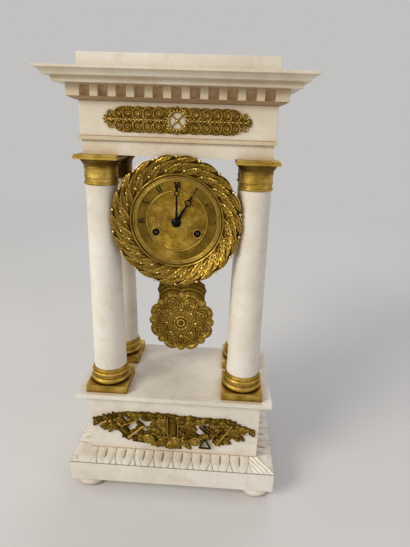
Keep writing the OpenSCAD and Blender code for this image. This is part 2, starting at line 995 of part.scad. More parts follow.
// Section of the bezel in radius and depth, a hollow slope from the dial up to the rim
module bezel_section() {
    lip = dial_r - 2;
    out = bezel_rim;
    edge = bezel_r - rim_margin - out / 2;
    seat_r = max(drum_r + 1, 0.3 * lip + 0.7 * edge);
    low = [lip, -0.45 * dial_sink];
    high = [edge - 0.6, -dial_sink - out];
    slope = norm(high - low);
    hollow = 2.2 * slope;
    back = sqrt(hollow * hollow - slope * slope / 4) / slope;
    difference() {
        union() {
            translate([lip, -dial_sink - 0.6])
                square([drum_in - 0.1 - lip, dial_sink + dial_t + 1.1]);
            translate([lip, -dial_sink - 1])
                square([seat_r - lip, 1 + bezel_seat]);
            translate([lip, -dial_sink - out])
                square([edge - lip, out]);
            translate([edge, -dial_sink - out / 2])
                circle(r = out / 2);
        }
        difference() {
            translate((low + high) / 2 + back * [high[1] - low[1], low[0] - high[0]])
                circle(r = hollow);
            translate(low + [1.3, -0.5])
                circle(r = 0.9);
        }
        translate([lip - 1, 0])
            square([dial_r + fit - lip + 1, 10]);
    }
}

module bezel() {
    lobe = 0.28 * bezel_r;
    berry = 0.025 * bezel_r;
    step = 360 / bezel_scallops;
    rim_t = 0.9 * bezel_rim - rim_back;
    color(gilt)
        union() {
            translate([0, dial_y, dial_z])
                rotate([-90, 0, 0])
                    rotate_extrude($fn = 96)
                        bezel_section();
            plate(front_y - 0.9 * bezel_rim, rim_t)
                difference() {
                    for (i = [0 : bezel_scallops - 1])
                        rotate(i * step)
                            translate([bezel_r - lobe, 0])
                                circle(r = lobe);
                    circle(r = bezel_r - rim_margin - 0.4 * bezel_rim);
                }
            for (i = [0 : bezel_scallops - 1])
                turned(front_y - bezel_rim, 0.1 * bezel_rim + rim_t, berry,
                    [(bezel_r - 1.3 * berry) * cos((i + 0.5) * step),
                    (bezel_r - 1.3 * berry) * sin((i + 0.5) * step)]);
        }
}

module dial() {
    color(gilt)
        difference() {
            union() {
                turned(dial_y, dial_t, dial_r);
                for (r = [dial_mid_r + 0.8, dial_r - 6.2, dial_r - 4.8, dial_r - 3.2])
                    difference() {
                        turned(dial_y - 0.3, 0.5, r);
                        turned(dial_y - 1, 2, r - 0.8);
                    }
                for (a = dial_feet_at)
                    turned(dial_back - 0.2, motion_gap + plate_t, 1.2,
                        [foot_ring * cos(a), foot_ring * sin(a)]);
            }
            turned(dial_y - 1, dial_t + 2, hour_pipe_r + play);
            for (p = [going_at, strike_at])
                turned(dial_y - 1, dial_t + 2, wind_hole_r, p);
            difference() {
                turned(dial_y - 1, 1.25, dial_mid_r);
                turned(dial_y - 1, 2, 6);
            }
        }
}

// Bores shared by both plates: pillars, train pivots, winding arbors
module plate_bores(y) {
    turned(y - 1, plate_t + 2, centre_r + fit);
    for (p = [going_at, strike_at])
        turned(y - 1, plate_t + 2, wind_r + fit, p);
    for (p = [second_at, third_at, [0, escape_z]])
        turned(y - 1, plate_t + 2, pivot_r + fit, p);
    for (a = pillar_at)
        turned(y - 1, plate_t + 2, tenon_r + fit, [pillar_ring * cos(a), pillar_ring * sin(a)]);
}

module front_plate() {
    color(brass)
        union() {
            difference() {
                turned(fplate_y, plate_t, plate_r);
                plate_bores(fplate_y);
                turned(fplate_y - 1, plate_t + 2, pivot_r + fit, [0, pallet_z]);
                for (a = dial_feet_at)
                    turned(fplate_y - 1, plate_t + 2, 1.2 + fit,
                        [foot_ring * cos(a), foot_ring * sin(a)]);
            }
            turned(fplate_y - 7.3, 7.4, 1.2, [0, motion_a]);
        }
}

module back_plate() {
    color(brass)
        difference() {
            turned(bplate_y, plate_t, plate_r);
            plate_bores(bplate_y);
            turned(bplate_y - 1, plate_t + 2, 3, [0, pallet_z]);
            turned(bplate_y - 1, plate_t + 2, 1 + fit, hammer_at);
        }
}

module plate_pillars() {
    color(brass)
        for (a = pillar_at) {
            turned(train_y, plate_gap, pillar_r, [pillar_ring * cos(a), pillar_ring * sin(a)]);
            turned(fplate_y, plate_gap + 2 * plate_t, tenon_r,
                [pillar_ring * cos(a), pillar_ring * sin(a)]);
        }
}

// Spring barrel with its great wheel
module barrel(at, wheel_y, turn) {
    color(brass)
        difference() {
            union() {
                turned(bplate_y - going_level - barrel_len, barrel_len, barrel_r, at);
                translate([at[0], 0, at[1]])
                    plate(wheel_y, great_t)
                        teeth(barrel_n, barrel_m, turn);
            }
            turned(train_y, plate_gap, wind_r + fit, at);
        }
}

module going_barrel() {
    barrel(going_at, bplate_y - going_level, heading(going_at, second_at));
}

module strike_barrel() {
    barrel(strike_at, bplate_y - strike_level, 0);
}

// Winding arbor, round in the plates and square at the dial
module winding_arbor(at) {
    color(steel)
        union() {
            turned(fplate_y - 0.5, plate_gap + 2 * plate_t + 0.5, wind_r, at);
            translate([at[0], 0, at[1]])
                plate(dial_y - 0.5, fplate_y - dial_y)
                    square(1.28 * wind_r, center = true);
        }
}

module going_arbor() {
    winding_arbor(going_at);
}

module strike_arbor() {
    winding_arbor(strike_at);
}

// Arbor with pivots in both plates
module arbor(at) {
    turned(train_y + 0.3, plate_gap - 0.6, arbor_r, at);
    turned(fplate_y, plate_gap + 2 * plate_t, pivot_r, at);
}

module second_wheel() {
    color(brass)
        union() {
            arbor(second_at);
            translate([second_at[0], 0, second_at[1]]) {
                plate(bplate_y - going_level - pinion_over, great_t + 2 * pinion_over)
                    leaves(second_pn, barrel_m, heading(second_at, going_at));
                plate(bplate_y - second_level, wheel_t)
                    crossed(second_n, second_m, heading(second_at, [0, 0]), 4);
            }
        }
}

module centre_wheel() {
    color(brass)
        union() {
            turned(collet_y - 1.4, rear_y - collet_y + 1.4, centre_r);
            plate(bplate_y - second_level - pinion_over, wheel_t + 2 * pinion_over)
                leaves(centre_pn, second_m, heading([0, 0], second_at));
            plate(bplate_y - centre_level, wheel_t)
                crossed(centre_n, centre_m, heading([0, 0], third_at), 4);
        }
}

module third_wheel() {
    color(brass)
        union() {
            arbor(third_at);
            translate([third_at[0], 0, third_at[1]]) {
                plate(bplate_y - centre_level - pinion_over, wheel_t + 2 * pinion_over)
                    leaves(third_pn, centre_m, heading(third_at, [0, 0]));
                plate(bplate_y - third_level, wheel_t)
                    crossed(third_n, third_m, heading(third_at, [0, escape_z]), 3);
            }
        }
}

// Escape wheel with pointed teeth leaning one way
module escape_wheel() {
    step = 360 / escape_teeth;
    root = escape_r - 1.6;
    color(brass)
        union() {
            arbor([0, escape_z]);
            translate([0, 0, escape_z]) {
                plate(bplate_y - third_level - pinion_over, wheel_t + 2 * pinion_over)
                    leaves(escape_pn, third_m, heading([0, escape_z], third_at));
                plate(bplate_y - escape_level, wheel_t)
                    difference() {
                        polygon([for (i = [0 : escape_teeth - 1], c = [[0, root], [0.1, escape_r],
                            [0.25, escape_r], [0.45, root]])
                            [c[1] * cos(step * (i + c[0])), c[1] * sin(step * (i + c[0]))]]);
                        difference() {
                            circle(r = root - 1.2);
                            circle(r = 2.4);
                            square([3 * root, 1.2], center = true);
                            square([1.2, 3 * root], center = true);
                        }
                    }
            }
        }
}

// Anchor with its arbor and the crutch that follows the pendulum
module anchor() {
    reach = escape_r + 1.1;
    fork = pallet_z - crutch_len;
    color(steel)
        union() {
            turned(train_y + 0.3, rear_y + 6.2 - train_y, arbor_r, [0, pallet_z]);
            turned(fplate_y, rear_y + 9 - fplate_y, pivot_r, [0, pallet_z]);
            plate(bplate_y - escape_level, wheel_t)
                union() {
                    translate([0, pallet_z])
                        circle(r = 2.4);
                    for (s = [-1, 1])
                        polygon([[0, pallet_z + 1.8], [s * 9, escape_z + 0.82 * reach],
                            [s * 0.86 * reach, escape_z + 0.52 * reach],
                            [s * 0.74 * reach, escape_z + 0.7 * reach], [0, pallet_z - 1.2]]);
                }
            turned(rear_y + 2, 1.5, 2.2, [0, pallet_z]);
            plate(rear_y + 2, 1.5)
                union() {
                    translate([-1.25, fork])
                        square([2.5, crutch_len]);
                    translate([-pend_r - play - 1.3, fork - 1.5])
                        square([2 * (pend_r + play + 1.3), 3]);
                }
            for (s = [-1, 1])
                plate(rear_y + 2, rod_back - 0.2)
                    translate([s * (pend_r + play + 0.65) - 0.65, fork - 1.5])
                        square([1.3, 3]);
        }
}

module cannon_pinion() {
    color(steel)
        difference() {
            union() {
                turned(minute_y, fplate_y - 1.4 - minute_y, cannon_r);
                plate(fplate_y - 3.4, 2)
                    leaves(cannon_n, minute_m, 90);
            }
            turned(minute_y - 1, fplate_y - minute_y, centre_r + fit);
        }
}

module minute_wheel() {
    color(brass)
        difference() {
            translate([0, 0, motion_a]) {
                plate(fplate_y - 3, 1.2)
                    teeth(minute_n, minute_m, 270);
                plate(fplate_y - 7, 4)
                    leaves(hour_pn, hour_m, 270);
            }
            turned(fplate_y - 8, 8, 1.2 + fit, [0, motion_a]);
        }
}

module hour_wheel() {
    color(brass)
        difference() {
            union() {
                turned(hour_y, fplate_y - 5 - hour_y, hour_pipe_r);
                plate(fplate_y - 6.2, 1.2)
                    teeth(hour_n, hour_m, 90);
            }
            turned(hour_y - 1, fplate_y - hour_y, cannon_r + 2 * fit);
        }
}

// Outline of a hand with a round eye near its tip, its stem narrower towards the eye
module hand_shape(reach, eye, eye_r, hub, hole, stem) {
    foot = eye - eye_r + 0.5;
    wall = 0.8 * stem;
    difference() {
        union() {
            circle(r = hub);
            polygon([[-stem, 0], [stem, 0], [0.6 * stem, foot], [-0.6 * stem, foot]]);
            translate([0, eye])
                circle(r = eye_r);
            polygon([[-stem, eye + eye_r * 0.8], [stem, eye + eye_r * 0.8], [0, reach]]);
        }
        circle(r = hole);
        translate([0, eye])
            circle(r = eye_r - wall);
    }
}

module hour_hand() {
    color(dark)
        plate(hour_y, hand_t)
            rotate(-hour_rest)
                hand_shape(hour_reach, hour_reach * 0.69, 3.5, 4.2, hour_pipe_r + fit, 1.6);
}

module minute_hand() {
    color(dark)
        plate(minute_y, hand_t)
            hand_shape(minute_reach, minute_reach * 0.7, 2.7, 3.4, cannon_r + fit, 1.3);
}

// Domed nut over the end of the centre arbor
module hand_collet() {
    dome = 0.46 * collet_r;
    ball = (collet_r * collet_r + dome * dome) / (2 * dome);
    color(dark)
        translate([0, collet_y, dial_z])
            rotate([90, 0, 0])
                rotate_extrude($fn = 48)
                    difference() {
                        intersection() {
                            translate([0, 0.6 + dome - ball])
                                circle(r = ball);
                            square([collet_r, 2 * collet_r]);
                        }
                        translate([0, -1])
                            square([centre_r + fit, 2.8]);
                    }
}

// Bridge on the back plate: rear pivot of the anchor and the spring clamp
module suspension_cock() {
    color(brass)
        difference() {
            union() {
                for (s = [-1, 1])
                    plate(rear_y, 6.5)
                        translate([s * 9.5 - 2.5, pallet_z - 5.2])
                            square([5, 7.5]);
                plate(rear_y + 6.5, 2.5)
                    translate([-12, pallet_z - 5.2])
                        square([24, cock_top - pallet_z + 5.2]);
                plate(rear_y + 9, rod_back - 5.5)
                    translate([-4, pallet_z + 4.5])
                        square([8, cock_top - pallet_z - 4.5]);
            }
            turned(rear_y + 6, 4, pivot_r + fit, [0, pallet_z]);
            plate(pend_y - 2.6, 10)
                translate([-1.1, pallet_z + 4])
                    square([2.2, 6]);
        }
}

module suspension_spring() {
    color(steel)
        union() {
            plate(pend_y - 2, 4)
                translate([-0.2, pallet_z - 10])
                    square([0.4, 19.6]);
            turned(pend_y - 3.3, 6.6, 0.8, [0, pallet_z + 9.7]);
        }
}

module pendulum_rod() {
    color(steel)
        difference() {
            union() {
                plate(pend_y - 2.2, 4.4)
                    translate([-2.5, pallet_z - 11])
                        square([5, 6]);
                translate([0, pend_y, dial_z + bob_z - 12])
                    cylinder(h = pendulum_len + 2, r = pend_r);
            }
            plate(pend_y - 5, 10)
                translate([-0.2 - fit, pallet_z - 10 - fit])
                    square([0.4 + 2 * fit, 12]);
        }
}

// Outline of the bob: large lobes behind the roses, small ones between, a leafy collar
module bob_outline() {
    turn = 360 / bob_roses;
    circle(r = bob_r - lobe_large / 2);
    for (i = [0 : bob_roses - 1]) {
        rotate((i + 0.5) * turn)
            translate([bob_r - lobe_large, 0])
                circle(r = lobe_large);
        rotate(i * turn)
            translate([bob_r - 0.5 - lobe_small, 0])
                circle(r = lobe_small);
    }
    side = [[0.8, 0.5], [1, 0.63], [1, 0.9], [1.07, 1.02], [1, 1.12], [0.8, 1.2]];
    n = len(side) - 1;
    polygon(concat([for (p = side) [p[0] * collar_w, p[1] * bob_r]],
        [for (i = [n : -1 : 0]) [-side[i][0] * collar_w, side[i][1] * bob_r]]));
    for (p = [[0, 1.36, 0.22], [0.45, 1.3, 0.18], [0.8, 1.2, 0.14]])
        for (s = [-1, 1])
            translate([s * p[0] * collar_w, p[1] * bob_r])
                circle(r = p[2] * bob_r);
}

// Gilt pendulum bob: lobed disc, domed, with roses and beads, ribbed collar, rod lug behind
module pendulum_bob() {
    face = pend_y - 5.5;
    turn = 360 / bob_roses;
    dome_r = 0.8 * bob_r;
    ball = (dome_r * dome_r + bob_dome * bob_dome) / (2 * bob_dome);
    rose_at = 0.66 * bob_r;
    rose_up = sqrt(ball * ball - rose_at * rose_at) - ball + bob_dome;
    bead_at = 0.434 * bob_r;
    bead_up = sqrt(ball * ball - bead_at * bead_at) - ball + bob_dome;
    color(gilt)
        union() {
            plate(face, bob_t)
                translate([0, bob_z])
                    bob_outline();
            translate([0, face, dial_z + bob_z])
                rotate([90, 0, 0]) {
                    intersection() {
                        translate([0, 0, bob_dome - ball])
                            sphere(r = ball);
                        translate([0, 0, -0.5])
                            cylinder(h = bob_dome + 1, r = dome_r);
                    }
                    cylinder(h = bob_dome + 0.8, r = bob_rose_r * 1.1);
                    cylinder(h = bob_dome + 1.6, r = bob_rose_r * 0.66);
                    translate([0, 0, bob_dome + 1.6])
                        sphere(r = bob_rose_r * 0.3);
                    for (i = [0 : bob_roses - 1]) {
                        rotate((i + 0.5) * turn)
                            translate([rose_at, 0, rose_up])
                                rotate([0, asin(rose_at / ball), 0]) {
                                    translate([0, 0, -1.5])
                                        cylinder(h = 2.3, r = bob_rose_r);
                                    cylinder(h = 1.4, r = bob_rose_r * 0.68);
                                    translate([0, 0, 1.4])
                                        sphere(r = bob_rose_r * 0.26);
                                }
                        rotate(i * turn)
                            translate([bead_at, 0, bead_up + 0.4])
                                sphere(r = bob_bead);
                    }
                    for (z = [0.7, 0.82, 0.94, 1.06])
                        translate([-0.94 * collar_w, z * bob_r, 0])
                            cube([1.88 * collar_w, 0.05 * bob_r, 0.8]);
                }
            difference() {
                translate([-5, face + bob_t - eps, dial_z + bob_z + 6])
                    cube([10, 5.5 - bob_t + pend_r + 2, 9]);
                translate([0, pend_y, dial_z + bob_z])
                    cylinder(h = 20, r = pend_r + fit);
            }
        }
}

module rating_nut() {
    color(brass)
        translate([0, pend_y, dial_z + bob_z + 2])
            difference() {
                cylinder(h = 4, r = 2.8);
                translate([0, 0, -1])
                    cylinder(h = 6, r = pend_r + fit);
            }
}

// Cranked post that carries the bell behind the pendulum
module bell_stand() {
    arm = bell_y - 1.9;
    color(steel)
        union() {
            turned(rear_y, 1.5, 4, bell_post_at);
            turned(rear_y, arm + 2.4 - rear_y, 2, bell_post_at);
            plate(arm, 2.4)
                rotate(heading([0, 0], bell_post_at))
                    translate([0, -2])
                        square([sqrt(bell_post_at[0] * bell_post_at[0]
                            + bell_post_at[1] * bell_post_at[1]), 4]);
            turned(arm, bell_y + bell_h - arm + 2, 2);
        }
}

module bell() {
    big = (bell_r * bell_r + bell_h * bell_h) / (2 * bell_h);
    color(brass)
        intersection() {
            difference() {
                translate([0, bell_y + bell_h - big, dial_z])
                    sphere(r = big);
                translate([0, bell_y + bell_h - big, dial_z])
                    sphere(r = big - bell_t);
                turned(bell_y, bell_h + 2, 2 + fit);
            }
            turned(bell_y, bell_h + 1, bell_r + 1);
        }
}

module bell_nut() {
    color(steel)
        difference() {
            turned(bell_y + bell_h, 1.8, 4);
            turned(bell_y + bell_h - 1, 4, 2 + fit);
        }
}

// Hammer beside the bell, on an arbor in the back plate
module hammer() {
    dx = hammer_head_at[0] - hammer_at[0];
    dz = hammer_head_at[1] - hammer_at[1];
    color(steel)
        union() {
            turned(bplate_y, plate_t + 4, 1, hammer_at);
            turned(rear_y + 2, 2, 2.4, hammer_at);
            translate([hammer_at[0], 0, hammer_at[1]])
                plate(rear_y + 2, 2)
                    rotate(atan2(dz, dx))
                        translate([0, -1.4])
                            square([sqrt(dx * dx + dz * dz), 2.8]);
            turned(rear_y + 2, bell_y - rear_y, 1.4, hammer_head_at);
            turned(bell_y, 5.5, 3, hammer_head_at);
        }
}

// Round door behind the drum, hinged at one side, with a small knob
module rear_cover() {
    hinge_x = -drum_r - 2.4;
    color(brass)
        difference() {
            union() {
                turned(drum_end + 0.15, cover_t, drum_r);
                translate([hinge_x, drum_end + 0.15, dial_z - 5.6])
                    cube([6, cover_t, 11.2]);
                translate([hinge_x, drum_end + 1, dial_z - 5.6])
                    cylinder(h = 11.2, r = knuckle_r);
                turned(drum_end + 0.15, cover_t + 2, 1.6, [drum_r - 8, 0]);
                turned(drum_end + 0.15 + cover_t + 2, 3, 3, [drum_r - 8, 0]);
            }
            translate([hinge_x, drum_end + 1, dial_z - 7])
                cylinder(h = 14, r = 0.9 + fit);
        }
}

foot_front_left();
foot_front_right();
foot_rear_left();
foot_rear_right();
base_slab();
leaf_moulding();
plinth_block();
plinth_mount();
plinth_cap();
column_bases();
shaft_front_left();
shaft_front_right();
shaft_rear_left();
shaft_rear_right();
capitals();
architrave();
frieze_block();
frieze_mount();
dentil_course();
cornice();
attic_block();
tie_rods();
tie_rod_nuts();
drum_hanger();
hanger_bolts();
drum_case();
case_straps();
strap_screws();
bezel();
dial();
front_plate();
back_plate();
plate_pillars();
going_barrel();
going_arbor();
strike_barrel();
strike_arbor();
second_wheel();
centre_wheel();
third_wheel();
escape_wheel();
anchor();
cannon_pinion();
minute_wheel();
hour_wheel();
hour_hand();
minute_hand();
hand_collet();
suspension_cock();
suspension_spring();
pendulum_rod();
pendulum_bob();
rating_nut();
bell_stand();
bell();
bell_nut();
hammer();
rear_cover();
cover_pin();
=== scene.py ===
import math

import bmesh
import bpy
import numpy as np
from mathutils import Matrix, Vector


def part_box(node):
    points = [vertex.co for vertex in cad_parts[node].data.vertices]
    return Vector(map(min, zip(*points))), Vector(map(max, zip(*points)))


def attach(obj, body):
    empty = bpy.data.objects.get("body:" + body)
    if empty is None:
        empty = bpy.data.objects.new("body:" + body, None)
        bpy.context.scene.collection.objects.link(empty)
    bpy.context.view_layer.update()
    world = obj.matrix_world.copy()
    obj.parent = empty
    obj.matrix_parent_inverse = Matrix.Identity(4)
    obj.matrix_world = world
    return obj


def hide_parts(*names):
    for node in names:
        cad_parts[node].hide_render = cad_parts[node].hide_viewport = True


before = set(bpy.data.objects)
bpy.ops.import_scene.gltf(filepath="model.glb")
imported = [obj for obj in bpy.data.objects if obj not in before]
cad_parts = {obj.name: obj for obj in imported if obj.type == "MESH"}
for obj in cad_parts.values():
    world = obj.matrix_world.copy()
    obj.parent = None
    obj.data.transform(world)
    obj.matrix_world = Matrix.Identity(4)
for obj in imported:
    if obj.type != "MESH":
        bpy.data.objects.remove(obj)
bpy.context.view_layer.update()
mm = 0.001

# The studio: a camera where the photograph was taken from, a plain pale floor disc,
# a pale surround and three large soft lamps. None of it is part of the clock.
picture_tall, focal_pixels, sensor = 547, 411.35, 36.0
camera_at = Vector((0.04773, -0.4422, 0.4103))
camera_yaw, camera_pitch, camera_roll = (math.radians(a) for a in (2.527, -19.555, -1.957))


def put(name, data):
    """An object of that name, made of data, in the scene at the origin."""
    thing = bpy.data.objects.new(name, data)
    bpy.context.scene.collection.objects.link(thing)
    return thing


camera = put("camera", bpy.data.cameras.new("camera"))
camera.data.sensor_fit = "AUTO"
camera.data.sensor_width = sensor
camera.data.lens = sensor * focal_pixels / picture_tall
camera.data.clip_start = 0.01
camera.data.clip_end = 200.0
camera.matrix_world = (
    Matrix.Translation(camera_at)
    @ Matrix.Rotation(camera_yaw, 4, "Z")
    @ Matrix.Rotation(camera_pitch + math.pi / 2, 4, "X")
    @ Matrix.Rotation(-camera_roll, 4, "Z")
)
bpy.context.scene.camera = camera
bpy.context.scene.view_settings.view_transform = "Standard"


def paint(code):
    """A colour written as sRGB hex, as the linear numbers that a shader takes."""
    parts = [int(code[i:i + 2], 16) / 255 for i in (1, 3, 5)]
    return [c / 12.92 if c <= 0.04045 else ((c + 0.055) / 1.055) ** 2.4 for c in parts] + [1.0]


def feed(tree, node, inputs):
    """Numbers and links for a node's sockets. A node given as a value stands for its first live output."""
    for key, value in inputs.items():
        if isinstance(value, bpy.types.Node):
            value = next(output for output in value.outputs if output.enabled)
        if isinstance(value, bpy.types.NodeSocket):
            tree.links.new(value, node.inputs[key])
        else:
            node.inputs[key].default_value = value


def add(tree, kind, inputs=None, stops=(), **settings):
    """A shader node of a kind, with its settings, its ramp stops, and its numbers or links."""
    node = tree.nodes.new("ShaderNode" + kind)
    for key, value in settings.items():
        setattr(node, key, value)
    for i, (place, code) in enumerate(stops):
        if i > 1:
            node.color_ramp.elements.new(place)
        node.color_ramp.elements[i].position = place
        node.color_ramp.elements[i].color = paint(code)
    feed(tree, node, inputs or {})
    return node


def fresh(name):
    """A plain material: itself, its node tree, its shader and its Object coordinates."""
    material = bpy.data.materials.new(name)
    material.use_nodes = True
    tree = material.node_tree
    tree.nodes.clear()
    shader = add(tree, "BsdfPrincipled")
    add(tree, "OutputMaterial", {"Surface": shader})
    return material, tree, shader, add(tree, "TexCoord").outputs["Object"]


def seen_by_eye(tree):
    """1 on rays that the eye sees straight, mirrored or through glass, 0 on light that falls on things."""
    ray = add(tree, "LightPath")
    seen = ray.outputs["Is Camera Ray"]
    for kind in ("Is Glossy Ray", "Is Transmission Ray"):
        seen = add(tree, "Math", {0: seen, 1: ray.outputs[kind]}, operation="MAXIMUM")
    return seen


world = bpy.data.worlds.new("pale surround")
bpy.context.scene.world = world
world.use_nodes = True
tree = world.node_tree
tree.nodes.clear()
backdrop = paint("#C2C1C0")
soft = add(tree, "Background", {"Color": paint("#EDEDF0"), "Strength": 0.46})
pale = add(tree, "Background", {"Color": backdrop, "Strength": 1.0})
both = add(tree, "MixShader", {0: seen_by_eye(tree), 1: soft, 2: pale})
add(tree, "OutputWorld", {"Surface": both})

# Painted board: matt, off white, with the faint cloudiness of roller paint.
floor_paint, tree, shader, here = fresh("matt painted board")
roll = add(tree, "TexNoise", {"Vector": here, "Scale": 1 / (400 * mm), "Detail": 2.0})
tone = add(tree, "ValToRGB", {"Fac": roll}, [(0.3, "#D9D8D6"), (0.7, "#DEDDDB")])
feed(tree, shader, {"Base Color": tone, "Roughness": 0.85})
# Far from the clock the eye sees the floor run out into the surround, with no line between them.
haze_start, haze_full = 0.35, 2.2
away = add(tree, "VectorMath", {0: here}, operation="LENGTH")
fade = add(tree, "MapRange", {"Value": away, "From Min": haze_start, "From Max": haze_full},
           interpolation_type="SMOOTHSTEP")
share = add(tree, "Math", {0: seen_by_eye(tree), 1: fade}, operation="MULTIPLY")
haze = add(tree, "Emission", {"Color": backdrop, "Strength": 1.0})
far = add(tree, "MixShader", {0: share, 1: shader, 2: haze})
feed(tree, tree.nodes["Material Output"], {"Surface": far})


def finished(bm, name, material):
    """bm, which is used up, as an object with a material."""
    mesh = bpy.data.meshes.new(name)
    bm.to_mesh(mesh)
    bm.free()
    mesh.materials.append(material)
    return put(name, mesh)


floor_r, floor_drop = 9.0, 0.0002
bm = bmesh.new()
bmesh.ops.create_circle(bm, cap_ends=True, segments=128, radius=floor_r)
bmesh.ops.translate(bm, verts=bm.verts, vec=(0, 0, -floor_drop))
floor = finished(bm, "floor", floor_paint)

lamps_look_at = Vector((0, 0, 0.24))
for lamp_name, lamp_at, lamp_size, watts, tint in (
    ("window_lamp", (-1.75, -1.6, 1.6), 1.3, 47.0, "#FFFAF0"),
    ("fill_lamp", (1.9, -1.1, 1.0), 1.5, 6.0, "#F6F0FF"),
    ("rear_lamp", (0.4, 1.9, 1.6), 1.5, 11.0, "#FFFFFF"),
):
    lamp = put(lamp_name, bpy.data.lights.new(lamp_name, "AREA"))
    lamp.data.shape = "DISK"
    lamp.data.size = lamp_size
    lamp.data.energy = watts
    lamp.data.color = paint(tint)[:3]
    lamp.location = lamp_at
    aim = lamps_look_at - Vector(lamp_at)
    lamp.rotation_euler = aim.to_track_quat("-Z", "Y").to_euler()

# Feet and slab: four turned bun feet and a sawn slab of cream marble, each foot held by a
# stud in the slab. The faces were rubbed smooth and the edges have worn round.
# Rubbed cream marble: a soft sheen over cloudy cream, warm stains, sugary grain, and brown in the corners,
# darker where ambient occlusion is deep: partly dust that a cloth can't reach, partly painted shade.
marble, tree, shader, here = fresh("rubbed cream marble")
# A colour Mix takes its share at socket 0 and its two colours at 6 and 7. As a film, it multiplies them.
as_blend = {"data_type": "RGBA"}
as_film = {"data_type": "RGBA", "blend_type": "MULTIPLY"}
# Noise hardly leaves this span.
noise_span = {"From Min": 0.3, "From Max": 0.7}
cloud = add(tree, "TexNoise", {"Vector": here, "Scale": 1 / (70 * mm), "Detail": 5.0, "Roughness": 0.6})
tone = add(tree, "ValToRGB", {"Fac": cloud}, [(0.32, "#DBD3C3"), (0.5, "#E8E2D4"), (0.68, "#F0ECE2")])
blotch = add(tree, "TexNoise",
             {"Vector": here, "Scale": 1 / (28 * mm), "Detail": 7.0, "Roughness": 0.62, "Distortion": 0.9})
stain = add(tree, "ValToRGB", {"Fac": blotch}, [(0.5, "#FFFFFF"), (0.72, "#D8C29A")])
stained = add(tree, "Mix", {0: 0.3, 6: tone, 7: stain}, **as_film)
grain = add(tree, "TexNoise", {"Vector": here, "Scale": 1 / (1.6 * mm), "Detail": 2.0})
sugar = add(tree, "ValToRGB", {"Fac": grain}, [(0.35, "#F2EFE8"), (0.65, "#FFFFFF")])
grained = add(tree, "Mix", {0: 0.5, 6: stained, 7: sugar}, **as_film)
# Corners darkened by ambient occlusion: painted shade, with some dust.
open_air = add(tree, "AmbientOcclusion", {"Distance": 14 * mm}, samples=8)
corner_dust_and_shade = add(tree, "ValToRGB", {"Fac": open_air.outputs["AO"]},
                  [(0.3, "#C39A70"), (0.55, "#E6D3B8"), (0.85, "#FFFFFF")])
dust_and_shade_tone = add(tree, "Mix", {0: 0.7, 6: grained, 7: corner_dust_and_shade}, **as_film)
gloss = add(tree, "MapRange", {"Value": blotch, **noise_span, "To Min": 0.36, "To Max": 0.52})
skin = add(tree, "Bump", {"Height": grain, "Strength": 0.12, "Distance": 0.4 * mm})
feed(tree, shader, {"Base Color": dust_and_shade_tone, "Roughness": gloss, "Normal": skin})
same_place = 2e-6
four_corners = ("front_left", "front_right", "rear_left", "rear_right")


def dress(names, material, eased=0.0):
    """A finish on CAD nodes, and where eased is given, their sharp edges worn round by that many mm."""
    for name in names:
        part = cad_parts[name]
        part.data.materials.clear()
        part.data.materials.append(material)
        if eased:
            weld = part.modifiers.new("joined triangles", "WELD")
            weld.merge_threshold = same_place
            flat = part.modifiers.new("whole faces", "DECIMATE")
            flat.decimate_type = "DISSOLVE"
            flat.angle_limit = math.radians(0.5)
            worn = part.modifiers.new("worn edges", "BEVEL")
            worn.width = eased * mm
            worn.segments = 2
            worn.limit_method = "ANGLE"
            worn.angle_limit = math.radians(40)
            worn.harden_normals = True


dress([f"foot_{corner}" for corner in four_corners], marble, 0.5)
dress(["base_slab"], marble, 0.8)

# Leaf moulding: a band of the same marble on the slab, carved by hand with water leaves, split
# along the rib, and darts between them, a leaf on each mitre, and the plinth on its top edge.
slab_half_x, slab_half_y = 118.0, 73.5
leaf_run, leaf_foot, leaf_head, leaf_fillet = 20.0, 39.0, 46.0, 1.2
leaf_pitch, leaves_front, leaves_side = 22.5, 8, 4
carving_high, carving_sunk, band_sunk = 2.1, 1.4, 0.15


def sheet(columns, rows, shape):
    """A grid of quads, each corner moved to where shape(u, v) puts it in mm, with its relief from 0 to 1."""
    bm = bmesh.new()
    bmesh.ops.create_grid(bm, x_segments=columns, y_segments=rows, size=0.5)
    u = np.array([vert.co.x for vert in bm.verts]) + 0.5
    v = np.array([vert.co.y for vert in bm.verts]) + 0.5
    places, heights = shape(u, v)
    relief = bm.verts.layers.float.new("relief")
    for vert, spot, height in zip(bm.verts, np.stack(places, -1) * mm, heights):
        vert.co = spot
        vert[relief] = height
    bmesh.ops.remove_doubles(bm, verts=bm.verts, dist=same_place)
    return bm


def blank():
    """A mesh with nothing in it yet, which keeps the relief of what is joined to it."""
    bm = bmesh.new()
    bm.verts.layers.float.new("relief")
    return bm


def join(bm, part, matrix=Matrix.Identity(4)):
    """Part is moved by matrix, added to bm and used up."""
    bmesh.ops.transform(part, matrix=matrix, verts=part.verts)
    held = bpy.data.meshes.new("held")
    part.to_mesh(held)
    part.free()
    bm.from_mesh(held)
    bpy.data.meshes.remove(held)


def close(bm):
    """bm with every open rim filled."""
    rims = [edge for edge in bm.edges if edge.is_boundary]
    bmesh.ops.holes_fill(bm, edges=rims, sides=0)
    return bm


def fit(bm, name, material, body, slot, *replaced):
    """bm becomes a smooth piece that rides on a body and stands for CAD nodes."""
    bmesh.ops.recalc_face_normals(bm, faces=bm.faces)
    piece = finished(bm, name, material)
    piece.data.shade_smooth()
    piece.data.set_sharp_from_angle(angle=math.radians(50))
    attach(piece, body)
    if replaced:
        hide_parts(*replaced)


def rise(x, start, run):
    """0 up to start, then straight up to 1 over a run."""
    return np.clip((x - start) / run, 0, 1)


def hump(x, wide):
    """A rounded ridge, 1 high where x is 0."""
    return np.exp(-(x / wide) ** 2)


